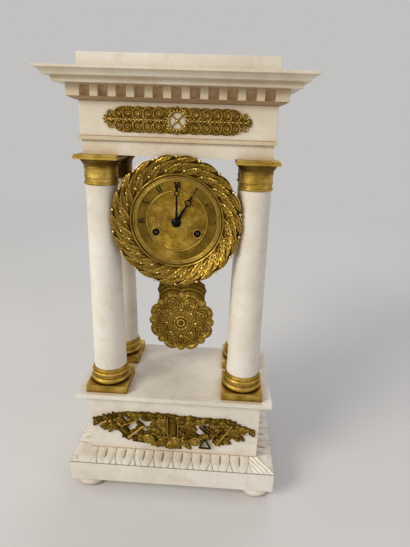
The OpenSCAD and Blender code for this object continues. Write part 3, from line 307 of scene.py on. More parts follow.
def carved_leaf(along, mitre, t, leaves):
    """Height of the carving, mm along the band and to its mitre, and t from the outer edge to the plinth."""
    to_seam = np.abs((along + leaf_pitch / 2) % leaf_pitch - leaf_pitch / 2)
    to_rib = leaf_pitch / 2 - to_seam
    parted = 3.4 * rise(0.55 - t, 0, 0.5)
    seam = 0.3 * hump(to_seam - parted, 0.7)
    slit = 0.8 * hump(to_rib, 0.8) * rise(t, 0.3, 0.25) * rise(0.97 - t, 0, 0.05)
    lobe = np.sin(np.pi * np.clip(to_rib / (leaf_pitch / 2 - parted), 0, 1))
    vein = 0.3 * (1 - np.abs(np.sin(np.pi * (3.4 * t - 0.3 * to_rib)))) ** 2 * rise(to_rib, 0, 2)
    leaf = np.where(to_seam < parted, 0.75, 0.37 + 0.58 * lobe - vein) - seam - slit
    corner = 0.65 + 0.3 * hump(mitre, 1.6) + 0.26 * np.cos(2 * np.pi * mitre / 6.0) - seam
    on_corner = np.abs(along) > leaf_pitch * leaves / 2 + parted
    return np.clip(np.where(on_corner, corner, leaf), 0, None)


bm = blank()
front_band, side_band = (slab_half_x, slab_half_y, leaves_front), (slab_half_y, slab_half_x, leaves_side)
for quarter, (half_run, half_out, leaves) in enumerate((front_band, side_band) * 2):
    def band(u, v):
        reach = half_run - leaf_run * v
        along = (2 * u - 1) * reach
        depth = carved_leaf(along, reach - np.abs(along), v, leaves)
        fade = rise(v, 0, 0.05) * rise(1 - v, 0, 0.06)
        swelled = v + 0.12 * np.sin(2 * np.pi * v)
        z = leaf_foot + leaf_fillet + (leaf_head - leaf_foot - leaf_fillet) * swelled
        z = z + fade * (carving_high * depth - carving_sunk) - band_sunk
        return (along, leaf_run * v - half_out, z), depth * fade
    join(bm, sheet(round(half_run * 3.6), 36, band), Matrix.Rotation(quarter * math.pi / 2, 4, "Z"))
bmesh.ops.remove_doubles(bm, verts=bm.verts, dist=5e-6)
rim = [edge for edge in bm.edges if edge.is_boundary
       and max(vert.co.z for vert in edge.verts) < (leaf_foot + 2) * mm]
skirt = bmesh.ops.extrude_edge_only(bm, edges=rim)["geom"]
for vert in skirt:
    if isinstance(vert, bmesh.types.BMVert):
        vert.co.z = leaf_foot * mm
close(bm)


def like_marble(name):
    """A copy of the marble, to be given its own dust and painted shade: it, its tree, shader, coordinates
    and stone colour.
    """
    material = marble.copy()
    material.name = name
    tree = material.node_tree
    shader = tree.nodes["Principled BSDF"]
    here = tree.nodes["Texture Coordinate"].outputs["Object"]
    return material, tree, shader, here, shader.inputs["Base Color"].links[0].from_socket


# Carved marble: the same stone, browned in the cuts, the deeper the browner: partly a century of dust,
# partly painted shade.
carved_marble, tree, shader, here, stone_colour = like_marble("carved cream marble")
cut = add(tree, "Attribute", attribute_name="relief")
dust_and_shade = add(tree, "ValToRGB", {"Fac": cut.outputs["Fac"]},
           [(0.0, "#86694B"), (0.13, "#E4D7C2"), (0.32, "#FFFFFF")])
dusted_and_shaded = add(tree, "Mix", {0: 0.85, 6: stone_colour, 7: dust_and_shade}, **as_film)
feed(tree, shader, {"Base Color": dusted_and_shaded})
fit(bm, "carved_leaf_moulding", carved_marble, "case", "marble", "leaf_moulding")

# Plinth block: a squared block of the same marble that carries the mount and the cap.
# It is bedded on the leaf moulding and bored for the four tie rods.
dress(["plinth_block"], marble, 0.6)

# Plinth mount: sprays of leaves, roses and staves round a small upright tablet, cast in
# bronze, chased, gilt and pinned to the plinth front. The stone shows between the leaves.
# Chased gilt bronze: rubbed yellow on the high places, brown soil and a green cast below.
gilt_cast, tree, shader, here = fresh("cast and chased gilt bronze")
height = add(tree, "Attribute", attribute_name="relief")
soil = add(tree, "TexNoise", {"Vector": here, "Scale": 1 / (8 * mm), "Detail": 5.0, "Roughness": 0.65})
level = add(tree, "Math", {0: soil, 1: 0.5, 2: height.outputs["Fac"]}, operation="MULTIPLY_ADD")
level = add(tree, "Math", {0: level, 1: 0.25}, operation="SUBTRACT")
tone = add(tree, "ValToRGB", {"Fac": level},
           [(0.0, "#2E2208"), (0.3, "#604A14"), (0.58, "#A08032"), (0.8, "#CFB05E"), (1.0, "#F2DA92")])
gloss = add(tree, "MapRange",
            {"Value": level, "From Min": 0.1, "From Max": 0.9, "To Min": 0.58, "To Max": 0.3})
pits = add(tree, "TexNoise", {"Vector": here, "Scale": 1 / (0.9 * mm), "Detail": 3.0})
skin = add(tree, "Bump", {"Height": pits, "Strength": 0.25, "Distance": 0.3 * mm})
feed(tree, shader, {"Base Color": tone, "Roughness": gloss, "Normal": skin, "Metallic": 1.0})


def blade(length, width, lift, veins=4.0, waves=0.07):
    """A cast leaf with a grooved rib and veins, its foot at the origin and its tip along X."""
    def shape(u, v):
        q = 2 * v - 1
        half = width / 2 * np.sin(np.pi * u ** 0.8) ** 0.75 * (1 + waves * np.cos(10 * np.pi * u))
        rib = hump(q, 0.16)
        vein = np.abs(np.sin(np.pi * (veins * u - 0.9 * np.abs(q))))
        dome = np.sqrt(np.clip(1 - q ** 2, 0, 1)) * np.sin(np.pi * np.clip(u, 0, 1)) ** 0.35
        z = lift * dome * (0.78 + 0.22 * vein - 0.25 * rib)
        return (u * length, q * half, z), dome * (0.5 + 0.45 * vein - 0.3 * rib)
    return close(sheet(14, 8, shape))


def rose(radius, lift, petals=5):
    """A cast rose of three rings of petals round a bud, lying on its back at the origin."""
    def shape(u, v):
        a = 2 * np.pi * u
        z = 0.45 * np.sqrt(np.clip(1 - v ** 4, 0, 1))
        mark = 0.5 * np.ones_like(v)
        for ring, (low, high) in enumerate(((0.0, 0.3), (0.28, 0.66), (0.62, 1.0))):
            split = np.abs(np.cos(petals * (a / 2) + ring * 1.1))
            cup = np.sin(np.pi * rise(v, low, high - low) ** 1.6) * (0.35 + 0.65 * split ** 0.6)
            cup = np.where((v >= low) & (v <= high), cup, 0)
            z = z + (0.32 - 0.05 * ring) * cup
            mark = mark + 0.5 * cup - 0.25 * hump(v - low, 0.05) * (ring > 0)
        rim = v > 0.999
        r = radius * v * (1 + 0.07 * np.abs(np.cos(petals * a / 2 + 2.2)) * v)
        return (r * np.cos(a), r * np.sin(a), lift * np.where(rim, 0, z)), mark * np.where(rim, 0.1, 1)
    return close(sheet(40, 16, shape))


def strand(path, half_wide, high, steps, ring=8):
    """A raised half round strand along path(u), which gives x and y in mm, flat on its back."""
    front = 0.75

    def shape(u, v):
        x, y = path(u)
        ahead_x, ahead_y = path(u + 1e-3)
        dx, dy = ahead_x - x, ahead_y - y
        size = np.hypot(dx, dy) + 1e-9
        a = np.pi * rise(v, 0, front)
        across = np.where(v <= front, np.cos(a), -1 + 2 / (1 - front) * (v - front))
        thin = half_wide(u) if callable(half_wide) else half_wide
        z = high * np.sin(a) * np.where(v <= front, 1, 0)
        return (x - dy / size * across * thin, y + dx / size * across * thin, z), 0.12 + 0.75 * np.sin(a)
    return close(sheet(steps, ring, shape))


def bead(radius, mark):
    """A round boss, half sunk at the origin, rubbed bright on its top."""
    bm = blank()
    bmesh.ops.create_uvsphere(bm, u_segments=14, v_segments=9, radius=radius * mm)
    relief = bm.verts.layers.float["relief"]
    for vert in bm.verts:
        vert[relief] = mark * (0.3 + 0.7 * max(0.0, vert.co.z / (radius * mm)))
    return bm


def lay(bm, part, x=0.0, y=0.0, turn=0.0, z=0.0):
    """Part is laid on a mount at x, y in mm, turned by degrees, z mm off the ground."""
    join(bm, part, Matrix.Translation(Vector((x, y, z)) * mm) @ Matrix.Rotation(math.radians(turn), 4, "Z"))


def soiled(bm, share):
    """bm under soil that never gets rubbed off, which brings its relief down to a share of itself."""
    layer = bm.verts.layers.float["relief"]
    for vert in bm.verts:
        vert[layer] *= share
    return bm


def straight(x0, y0, x1, y1):
    """A straight path for a strand."""
    return lambda u: (x0 + (x1 - x0) * u, y0 + (y1 - y0) * u)


def upright(x, y, z):
    """The move that stands what was laid out flat against a front face, its middle at x, y, z in mm."""
    return Matrix.Translation((x * mm, y * mm, z * mm)) @ Matrix.Rotation(math.pi / 2, 4, "X")


plinth_front, plinth_mount_z = -53.5, 76.1
spray_start, spray_pitch, spray_columns, spray_row, spray_edge = -91, 5.7, 33, 6.0, 2.6
tools_from, tools_to, tools_bare, foot_kept = 27, 60, 0.45, 0.75
# Upper and lower edge of the mount, as mm from its middle.
spray_top = np.array(((-94, 11.5), (-76, 17.5), (-62, 21.5), (-30, 23.2), (18, 22), (41, 20), (65, 20),
                      (73, 15), (94, 6.5)))
spray_foot = np.array(((-94, 10), (-91, 2.5), (-71, -8), (-46, -17), (-29, -21), (-5, -24.5), (5, -24.5),
                       (27, -22), (44, -19), (67, -12), (90, -3), (94, 5)))
chance = np.random.default_rng(7)
bm = blank()
for column in range(spray_columns):
    x = spray_start + spray_pitch * column
    top, foot = (np.interp(x, line[:, 0], line[:, 1]) for line in (spray_top, spray_foot))
    rows = max(2, round((top - foot) / spray_row))
    side = 1 if x > 0 else -1
    for row in range(rows):
        y = foot + spray_edge + (top - foot - 2 * spray_edge) * row / (rows - 1) + chance.uniform(-0.8, 0.8)
        lean = -1 if row == 0 else 1 if row == rows - 1 else chance.uniform(-1, 1)
        turn = 90 - 90 * side + side * lean * chance.uniform(20, 60)
        length, shine, kept = chance.uniform(8.5, 13), chance.uniform(0.45, 1.0), chance.uniform(0, 1)
        # The stone shows among the tools and staves on each side of the middle, and round the triangle.
        tools = tools_from < abs(x) < tools_to and 0 < row < rows - 1
        triangle = 30 < x < 46 and y < -8
        if tools and kept < tools_bare or row == 0 and kept > foot_kept or triangle:
            continue
        leaf = soiled(blade(length, 0.6 * length, 2.6, 3.0, 0.1), shine)
        foot_x = x - 0.55 * length * math.cos(math.radians(turn))
        foot_y = y - 0.55 * length * math.sin(math.radians(turn))
        lay(bm, leaf, foot_x, foot_y, turn, chance.uniform(0, 1))
        if (column + row) % 3 == 0:
            berry = bead(chance.uniform(0.9, 1.3), 0.9)
            lay(bm, berry, x + chance.uniform(-2, 2), y + chance.uniform(-2, 2), z=2.0)
# Staves and rods: their ends, half width, height, lift off the stone, and how far they are rubbed bright.
for x0, y0, x1, y1, half, high, z, shine in (
    (-76, 17.6, -54, -14, 1.3, 2.6, 1.2, 0.4), (-68.5, 18.6, -50, -7.6, 1.2, 2.4, 1.4, 0.35),
    (-53, -11.3, -34, 6.2, 1.7, 3.0, 1.6, 1.0), (-47, -16.4, -35, -17.0, 0.9, 2.2, 1.0, 0.1),
    (-61, 4, -42, 13, 0.9, 2.2, 1.4, 0.6), (-57, -2, -44, 18, 0.9, 2.2, 1.2, 0.3),
    (-84, 6.5, -77, 11, 1.0, 2.2, 2.0, 1.0), (-24, -6, -18, -13, 0.8, 2.2, 1.6, 0.1),
    (-22, 17, -12, -12, 1.2, 2.4, 1.0, 0.6), (22, 17, 12, -12, 1.2, 2.4, 1.0, 0.6),
    (30, 9, 41, -1, 0.8, 2.6, 1.6, 0.1), (34, 11, 45, 1, 0.8, 2.6, 1.6, 0.1),
    (50, -15.7, 68, 14, 1.4, 2.8, 1.4, 1.0), (43, -8, 56, 9, 0.9, 2.4, 1.6, 0.7),
    (46, -11, 59, 6, 0.9, 2.4, 1.8, 0.3), (60, -10, 48, 4, 1.0, 2.2, 1.0, 0.5),
):
    lay(bm, soiled(strand(straight(x0, y0, x1, y1), half, high, 16), shine), z=z)
# Roses: place and radius.
for x, y, size in (
    (-28.4, -12.8, 6.4), (25.6, -12.2, 6.4), (-44, 17, 4.4), (-63, 12, 4.0), (18, 11, 4.6),
    (30, 15, 4.2), (-16, 10, 4.6), (57, 14, 4.2), (70, 4, 4.6), (80, 5, 4.0),
    (-72, 2, 4.4), (-82, 2, 4.0), (-13, -15, 4.6), (13, -15, 4.6), (-3, -21, 4.4),
):
    lay(bm, soiled(rose(size, 2.8), 0.95 if size > 6 else 0.75), x, y, 40 * x, 1.8)
# Tablet in the middle, between two uprights, with a small shell of leaves under it.
lay(bm, soiled(strand(straight(-0.5, -4, -0.5, 19), 4.6, 1.4, 8), 0.5), z=2.4)
for x in (-6.4, 5.4):
    lay(bm, strand(straight(x, -8, x, 21), 1.0, 3.0, 8), z=1.6)
for turn in (-150, -125, -100, -80, -55, -30):
    lay(bm, blade(11, 5.0, 2.4), 0, -14, turn, 1.4)
lay(bm, rose(5.0, 3.0), 3, -12, 10, 2.0)
# A triangle and a star hang among the tools on the right.
corners = ((37.0, -7.8), (31.0, -20.0), (44.0, -20.0))
for near, far in zip(corners, corners[1:] + corners[:1]):
    lay(bm, soiled(strand(straight(*near, *far), 0.9, 2.0, 10), 0.12), z=2.4)
for turn in range(0, 360, 45):
    lay(bm, blade(4.6, 2.4, 1.8), 37.9, -2.0, turn, 3.4)
bmesh.ops.transform(bm, matrix=upright(0, plinth_front, plinth_mount_z), verts=bm.verts)
fit(soiled(bm, 0.85), "plinth_sprays", gilt_cast, "case", "gilt_bronze", "plinth_mount")

# Plinth cap: a moulded slab of the same marble, flat edged over a hollow, which closes the
# plinth and carries the four columns.
dress(["plinth_cap"], marble, 0.7)

# Columns: turned marble shafts that taper upwards, between gilt bronze feet and capitals.
# A tie rod through each one pulls the whole stack together.
# Turned gilt bronze: bright rings from the lathe, with the gilding worn brown in patches.
shaft_mid, flare_foot, flare_head, abacus_foot = 300.0, 368.5, 373.5, 378.4
gilt_turned, tree, shader, here = fresh("turned gilt bronze")
wear = add(tree, "TexNoise", {"Vector": here, "Scale": 1 / (14 * mm), "Detail": 6.0, "Roughness": 0.62})
tone = add(tree, "ValToRGB", {"Fac": wear},
           [(0.25, "#7A5F1E"), (0.45, "#B0903E"), (0.6, "#CCAC56"), (0.75, "#E6C97A")])
# Corners and undercuts darkened by ambient occlusion: painted shade, with some soil.
open_air = add(tree, "AmbientOcclusion", {"Distance": 8 * mm}, samples=8)
corner_soil_and_shade = add(tree, "ValToRGB", {"Fac": open_air.outputs["AO"]},
                  [(0.25, "#7A633C"), (0.55, "#C4B69E"), (0.85, "#FFFFFF")])
tone = add(tree, "Mix", {0: 1.0, 6: tone, 7: corner_soil_and_shade}, **as_film)
# Under each abacus, and all over the rear capitals, the colour is painted dark brown as shade: the flare
# under the abacus faces down, and the rear capitals stand in shadow.
axes = add(tree, "SeparateXYZ", {0: here})
flare = add(tree, "MapRange",
            {"Value": axes.outputs["Z"], "From Min": flare_foot * mm, "From Max": flare_head * mm})
under = add(tree, "Math", {0: axes.outputs["Z"], 1: abacus_foot * mm}, operation="LESS_THAN")
under_abacus_shade = add(tree, "Math", {0: flare, 1: under}, operation="MULTIPLY")
behind = add(tree, "Math", {0: axes.outputs["Y"], 1: 0.0}, operation="GREATER_THAN")
above = add(tree, "Math", {0: axes.outputs["Z"], 1: shaft_mid * mm}, operation="GREATER_THAN")
rear_capital_shade = add(tree, "Math", {0: behind, 1: above}, operation="MULTIPLY")
capital_shade = add(tree, "Math", {0: under_abacus_shade, 1: rear_capital_shade}, operation="MAXIMUM")
capital_shade_share = add(tree, "Math", {0: capital_shade, 1: 0.8}, operation="MULTIPLY")
tone = add(tree, "Mix", {0: capital_shade_share, 6: tone, 7: paint("#4E390F")}, **as_blend)
# The lathe's rings are 0.4 mm apart.
stretch = add(tree, "Mapping", {"Vector": here, "Scale": (1 / (25 * mm), 1 / (25 * mm), 1 / (0.4 * mm))})
rings = add(tree, "TexNoise", {"Vector": stretch, "Scale": 1.0, "Detail": 1.0})
gloss = add(tree, "MapRange", {"Value": wear, **noise_span, "To Min": 0.64, "To Max": 0.46})
skin = add(tree, "Bump", {"Height": rings, "Strength": 0.15, "Distance": 0.2 * mm})
feed(tree, shader, {"Base Color": tone, "Roughness": gloss, "Normal": skin, "Metallic": 1.0})
dress(["column_bases", "capitals"], gilt_turned, 0.25)
dress([f"shaft_{corner}" for corner in four_corners], marble)

# Entablature: architrave, frieze, dentils, cornice and attic block, sawn and moulded from the
# same marble and stacked dry over the tie rods.
# Shaded marble: the same stone under a darker, yellower film, painted shade over the architrave, frieze and
# cornice.
moulding_tall = 3.5
moulding_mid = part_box("architrave")[1][2] - moulding_tall / 2 * mm
shaded_marble, tree, shader, here, stone_colour = like_marble("cream marble with painted shade")
shade_cloud = add(tree, "TexNoise", {"Vector": here, "Scale": 1 / (50 * mm), "Detail": 3.0})
shade_film = add(tree, "ValToRGB", {"Fac": shade_cloud}, [(0.3, "#EEE7D8"), (0.7, "#F8F4EC")])
# The small moulding at the head of the architrave is painted darker still, as the shade it sits in.
axes = add(tree, "SeparateXYZ", {0: here})
half_tall = (moulding_tall / 2 + 0.1) * mm
on_moulding = add(tree, "Math", {0: axes.outputs["Z"], 1: moulding_mid, 2: half_tall}, operation="COMPARE")
shade_film = add(tree, "Mix", {0: on_moulding, 6: shade_film, 7: paint("#E1D4B8")}, **as_blend)
shade_filmed = add(tree, "Mix", {0: 1.0, 6: stone_colour, 7: shade_film}, **as_film)
feed(tree, shader, {"Base Color": shade_filmed})
dress(["architrave", "frieze_block"], shaded_marble, 0.5)
# Dusty, shaded marble: the same stone, brown round the dentils and under them, partly dust where no cloth
# goes and partly painted shade, with the teeth under a darker film of painted shade.
dentil_half_x, dentil_half_y, dentil_foot = 99.2, 51.6, 433.4
dust_and_shade_marble, tree, shader, here, stone_colour = like_marble("dentil marble with dust and painted shade")
axes = add(tree, "SeparateXYZ", {0: here})
beyond = []
for axis, half in (("X", dentil_half_x), ("Y", dentil_half_y)):
    off = add(tree, "Math", {0: axes.outputs[axis]}, operation="ABSOLUTE")
    beyond.append(add(tree, "Math", {0: off, 1: half * mm}, operation="SUBTRACT"))
outer = add(tree, "Math", {0: beyond[0], 1: beyond[1]}, operation="MAXIMUM")
on_face = add(tree, "MapRange", {"Value": outer, "From Min": -1.2 * mm, "From Max": -0.2 * mm})
over_foot = add(tree, "MapRange", {"Value": axes.outputs["Z"], "From Min": (dentil_foot - 0.2) * mm,
                                   "From Max": (dentil_foot + 0.5) * mm})
tooth_faces = add(tree, "Math", {0: on_face, 1: over_foot}, operation="MULTIPLY")
streak = add(tree, "TexNoise", {"Vector": here, "Scale": 1 / (6 * mm), "Detail": 4.0})
dust_and_shade = add(tree, "ValToRGB", {"Fac": streak}, [(0.35, "#D4B488"), (0.65, "#ECD6B0")])
# Gaps and the bed under the teeth: brown that is partly dust, partly painted shade.
thick = add(tree, "Mix", {0: over_foot, 6: paint("#A78763"), 7: dust_and_shade}, **as_blend)
# Tooth faces: the stone under a darker film, painted shade from the cornice above.
shade_film = add(tree, "Mix", {0: 1.0, 6: stone_colour, 7: paint("#EADEC6")}, **as_film)
dusted_and_shaded = add(tree, "Mix", {0: tooth_faces, 6: thick, 7: shade_film}, **as_blend)
feed(tree, shader, {"Base Color": dusted_and_shaded})
dress(["dentil_course"], dust_and_shade_marble, 0.25)
dress(["cornice"], shaded_marble, 0.7)
dress(["attic_block"], marble, 0.7)

# Frieze mount: an openwork strip of cast and chased gilt bronze, two rows of scrolls on each
# side of a ring with crossed wires, ending in curled leaf tips. It is pinned to the frieze.
frieze_front, frieze_mount_z = -43.4, 415.0
scroll_places, scroll_row = (16.6, 26.8, 36.4, 45.6, 53.8), 5.9
scroll_sizes = (5.9, 5.3, 5.1, 4.9, 4.4)
ground_long, ground_tall, scallop_pitch, scallop_deep, ground_grain = 60.5, 11.7, 9.6, 1.1, 1.9
ring_open, ring_r, wreath_r, corner_r = 8.2, 8.0, 8.6, 8.4


def spiral(x, y, radius, turns, start, spin):
    """A path that winds in from the rim to the eye of a scroll."""
    def path(u):
        a = math.radians(start) + spin * 2 * np.pi * turns * u
        r = radius * (1 - 0.86 * np.clip(u, 0, 1.01) ** 0.85)
        return x + r * np.cos(a), y + r * np.sin(a)
    return path


def ground(side):
    """The thin grained ground of one half of the strip, dark as painted shade of the stone seen through the
    openwork, cut round the open ring, with scalloped edges.
    """
    def shape(u, v):
        q = 2 * v - 1
        inner = np.sqrt(np.clip(ring_open ** 2 - (q * ground_tall) ** 2, 0, None))
        x = inner + (ground_long - 9.0 * np.abs(q) ** 3 - inner) * u
        y = q * (ground_tall - scallop_deep
                 + scallop_deep * np.abs(np.cos(np.pi * (x - scroll_places[0]) / scallop_pitch)))
        fine = np.abs(np.sin(np.pi * x / ground_grain) * np.sin(np.pi * q * ground_tall / ground_grain))
        rim = (u < 0.001) | (u > 0.999) | (v < 0.001) | (v > 0.999)
        return (side * x, y, np.where(rim, 0, 0.3 + 0.25 * fine)), 0.36 + 0.3 * fine
    return close(sheet(110, 50, shape))


def thinning(u):
    """Half width of a scroll's strand, which thins towards the eye."""
    return 0.75 - 0.25 * np.clip(u, 0, 1)


bm = blank()
for side in (-1, 1):
    out = 90 - 90 * side
    # A dark sheet behind the scrolls: partly the strip's grained ground, partly painted shade where the
    # stone shows through the openwork.
    lay(bm, ground(side))
    for row in (-1, 1):
        hand = row * side
        for x, size in zip(scroll_places, scroll_sizes):
            x = side * x
            y = row * (scroll_row + 0.15 * (size - 5))
            lay(bm, strand(spiral(x, y, size, 1.8, out - hand * 80, hand), thinning, 1.9, 60), z=0.6)
            lay(bm, rose(1.9, 1.2), x, y, z=0.8)
            lay(bm, blade(4.6, 1.8, 1.3), x - side * 6.2, row * (scroll_row + 4.0), out + hand * 8, 0.5)
            lay(bm, blade(4.6, 2.2, 1.3), x - side * 6.4, row * 3.4, out + hand * 30, 0.5)
            lay(bm, bead(0.7, 0.9), x - side * (size - 0.2), row * (scroll_row - 3.4), z=1.0)
        lay(bm, strand(spiral(side * 62.3, row * 4.2, 3.8, 1.25, 90 + 90 * side, -hand), 0.75, 1.7, 40))
    for i in range(14):
        x = side * (10.4 + 3.7 * i)
        for lean in (-24, 24):
            lay(bm, blade(4.4, 2.3, 1.8), x, lean / 48, out + lean * side, 1.0)
        lay(bm, bead(0.9, 1.0), x, z=1.9)
    lay(bm, strand(straight(side * 9, 0, side * 64, 0), 1.5, 1.5, 30))
    for turn in (-38, 0, 38):
        lay(bm, blade(5.6, 2.6, 1.8), side * 63.4, 0, out + turn, 0.4)
# Ring in the middle: a wreath of small leaves and beads in a square of corner leaves.
for turn in range(0, 360, 20):
    a = math.radians(turn)
    lay(bm, blade(4.2, 2.6, 2.0), wreath_r * math.cos(a), wreath_r * math.sin(a), turn + 35, 0.6)
    lay(bm, bead(0.8, 1.0), wreath_r * math.cos(a + 0.17), wreath_r * math.sin(a + 0.17), z=1.6)
for turn in (45, 135, 225, 315):
    a = math.radians(turn)
    for lean in (-50, -18, 18, 50):
        lay(bm, blade(5.2, 2.8, 1.8), corner_r * math.cos(a), corner_r * math.sin(a), turn + lean, 0.5)
lay(bm, strand(lambda u: (ring_r * np.cos(2 * np.pi * u), ring_r * np.sin(2 * np.pi * u)), 0.9, 2.0, 60))
for turn in (45, 135):
    x, y = ring_r * math.cos(math.radians(turn)), ring_r * math.sin(math.radians(turn))
    lay(bm, strand(straight(-x, -y, x, y), 0.6, 1.5, 12))
lay(bm, bead(1.2, 1.0), z=1.2)
bmesh.ops.transform(bm, matrix=upright(0, frieze_front, frieze_mount_z), verts=bm.verts)
fit(soiled(bm, 0.95), "frieze_scrolls", gilt_cast, "case", "gilt_bronze", "frieze_mount")

# Tie rods and hanger: iron rods with square nuts through the columns, and an iron saddle with
# two bolts that hangs the drum from the architrave.
# Forged iron: dark scale with rust in the low places.
iron, tree, shader, here = fresh("forged iron")
scale = add(tree, "TexNoise", {"Vector": here, "Scale": 1 / (5 * mm), "Detail": 6.0, "Roughness": 0.7})
tone = add(tree, "ValToRGB", {"Fac": scale}, [(0.35, "#2B2826"), (0.55, "#45403B"), (0.72, "#6B4A33")])
gloss = add(tree, "MapRange", {"Value": scale, **noise_span, "To Min": 0.42, "To Max": 0.75})
skin = add(tree, "Bump", {"Height": scale, "Strength": 0.3, "Distance": 0.4 * mm})
feed(tree, shader, {"Base Color": tone, "Roughness": gloss, "Normal": skin, "Metallic": 0.85})
dress(["tie_rods", "tie_rod_nuts", "drum_hanger", "hanger_bolts"], iron)

# Drum, straps and rear cover: a rolled brass tube with a flanged back, two straps that draw the
# bezel against it, and a thin brass door on a pinned hinge.
# Lacquered brass: drawn sheet with fine lines and a browning lacquer.
brass, tree, shader, here = fresh("lacquered brass")
brown = add(tree, "TexNoise", {"Vector": here, "Scale": 1 / (30 * mm), "Detail": 8.0, "Roughness": 0.68})
tone = add(tree, "ValToRGB", {"Fac": brown}, [(0.3, "#8E7038"), (0.5, "#A98A4B"), (0.7, "#BC9D5A")])
# Lines that the draw plate left, about 0.6 mm apart and 17 mm long.
stretch = add(tree, "Mapping", {"Vector": here, "Scale": (1800.0, 60.0, 1800.0)})
lines = add(tree, "TexNoise", {"Vector": stretch, "Scale": 1.0, "Detail": 2.0})
gloss = add(tree, "MapRange", {"Value": lines, "To Min": 0.28, "To Max": 0.44})
skin = add(tree, "Bump", {"Height": lines, "Strength": 0.1, "Distance": 0.2 * mm})
feed(tree, shader, {"Base Color": tone, "Roughness": gloss, "Normal": skin, "Metallic": 1.0})
dress(["drum_case", "case_straps", "rear_cover"], brass, 0.2)
# Polished steel: grey, with a fine grain in the shine.
steel, tree, shader, here = fresh("polished steel")
draw = add(tree, "TexNoise", {"Vector": here, "Scale": 1 / (1.5 * mm), "Detail": 3.0})
tone = add(tree, "ValToRGB", {"Fac": draw}, [(0.3, "#6E7073"), (0.7, "#9A9C9F")])
gloss = add(tree, "MapRange", {"Value": draw, "To Min": 0.22, "To Max": 0.38})
feed(tree, shader, {"Base Color": tone, "Roughness": gloss, "Metallic": 1.0})
dress(["strap_screws", "cover_pin"], steel)

# Bezel: a cast ring of laurel in bundles of leaves with berries, chased and gilt. The straps
# pull it against the drum, and its plain inner lip covers the edge of the dial.
dial_z, dial_front = 320.5, -39.0
bezel_r, bundles, lip_in, lip_mid, lip_out = 65.7, 18, 45.6, 46.5, 47.4
lobe_r = 0.28 * bezel_r
slope_low, slope_high, slope_in, slope_out = -40.6, -48.2, 46.0, 60.0
rim_berry_y, berry_lift, rim_round, back_r = -47.0, 1.3, 2.6, 56.0
# Each leaf of a bundle: foot and tip as degrees clockwise and mm out, width, bow, height at foot and tip.
wreath_leaves = (
    (-7.0, 54.2, 17.5, 63.8, 6.6, 0.9, 0.25, 0.85),
    (-2.0, 49.6, 21.0, 60.6, 5.8, 0.2, 0.3, 0.9),
    (4.0, 46.8, 25.5, 57.4, 6.2, -0.8, 0.35, 1.0),
)
# Berries of a bundle: mm out, degrees clockwise, radius.
berries = ((63.6, 0.0, 1.6), (55.6, -0.5, 1.45), (51.0, 8.5, 1.45))
# Section of the back from the rim to the lip: share of the way, radius and depth.
back_line = np.array(((0.0, 0.0, -44.8), (0.3, back_r, -43.0), (0.36, back_r, -41.0), (0.5, 50.3, -41.0),
                      (0.6, 50.3, -37.0), (0.7, 47.55, -37.0), (0.78, 47.55, -39.05), (0.9, lip_in, -39.05),
                      (1.0, lip_in, -39.6)))


def lobed(centre, radius, psi):
    """Reach of a round lobe from the middle, psi away from the lobe's own direction."""
    inside = np.clip(radius ** 2 - (centre * np.sin(psi)) ** 2, 0, None)
    reach = centre * np.cos(psi) + np.sqrt(inside)
    return np.where(np.abs(centre * np.sin(psi)) < radius, np.where(np.cos(psi) > 0, reach, 0), 0)


def wreath(clock_angle, r):
    """Height of the laurel from 0 to 1 at an angle clockwise from the top, and how near a leaf's edge."""
    pitch = 2 * np.pi / bundles
    height, edge = np.zeros_like(r), np.zeros_like(r)
    in_bundle = clock_angle % pitch
    for foot, foot_r, tip, tip_r, width, bow, low, high in wreath_leaves:
        mid = (foot_r + tip_r) / 2
        run, climb = mid * math.radians(tip - foot), tip_r - foot_r
        length = math.hypot(run, climb)
        for shift in (-1, 0, 1, 2):
            x = mid * (in_bundle + (shift - 1) * pitch - math.radians(foot))
            y = r - foot_r
            p = (x * run + y * climb) / length ** 2
            side = (y * run - x * climb) / length - bow * 4 * p * (1 - p)
            inner = np.clip(p, 0, 1)
            half = np.sin(np.pi * inner ** 0.75) ** 0.7 * (1 + 0.1 * np.cos(12 * np.pi * inner))
            q = np.abs(side) / (width / 2 * half + 1e-6)
            vein = np.abs(np.sin(np.pi * (5 * p - 0.9 * q)))
            body = low + (high - low) * inner + 0.3 * (1 - q ** 2) - 0.3 * hump(q, 0.16) - 0.16 * (1 - vein)
            body = np.where((p > 0) & (p < 1) & (q < 1), np.clip(body, 0.12, 1.3), 0)
            edge = np.where(body > height, rise(q, 0.5, 0.4), edge)
            height = np.maximum(height, body)
    return height, edge


def slope(r):
    """Depth of the hollow slope between the lip and the rim."""
    f = rise(r, slope_in, slope_out - slope_in)
    return slope_low + (slope_high - slope_low) * f + 3.2 * f * (1 - f)


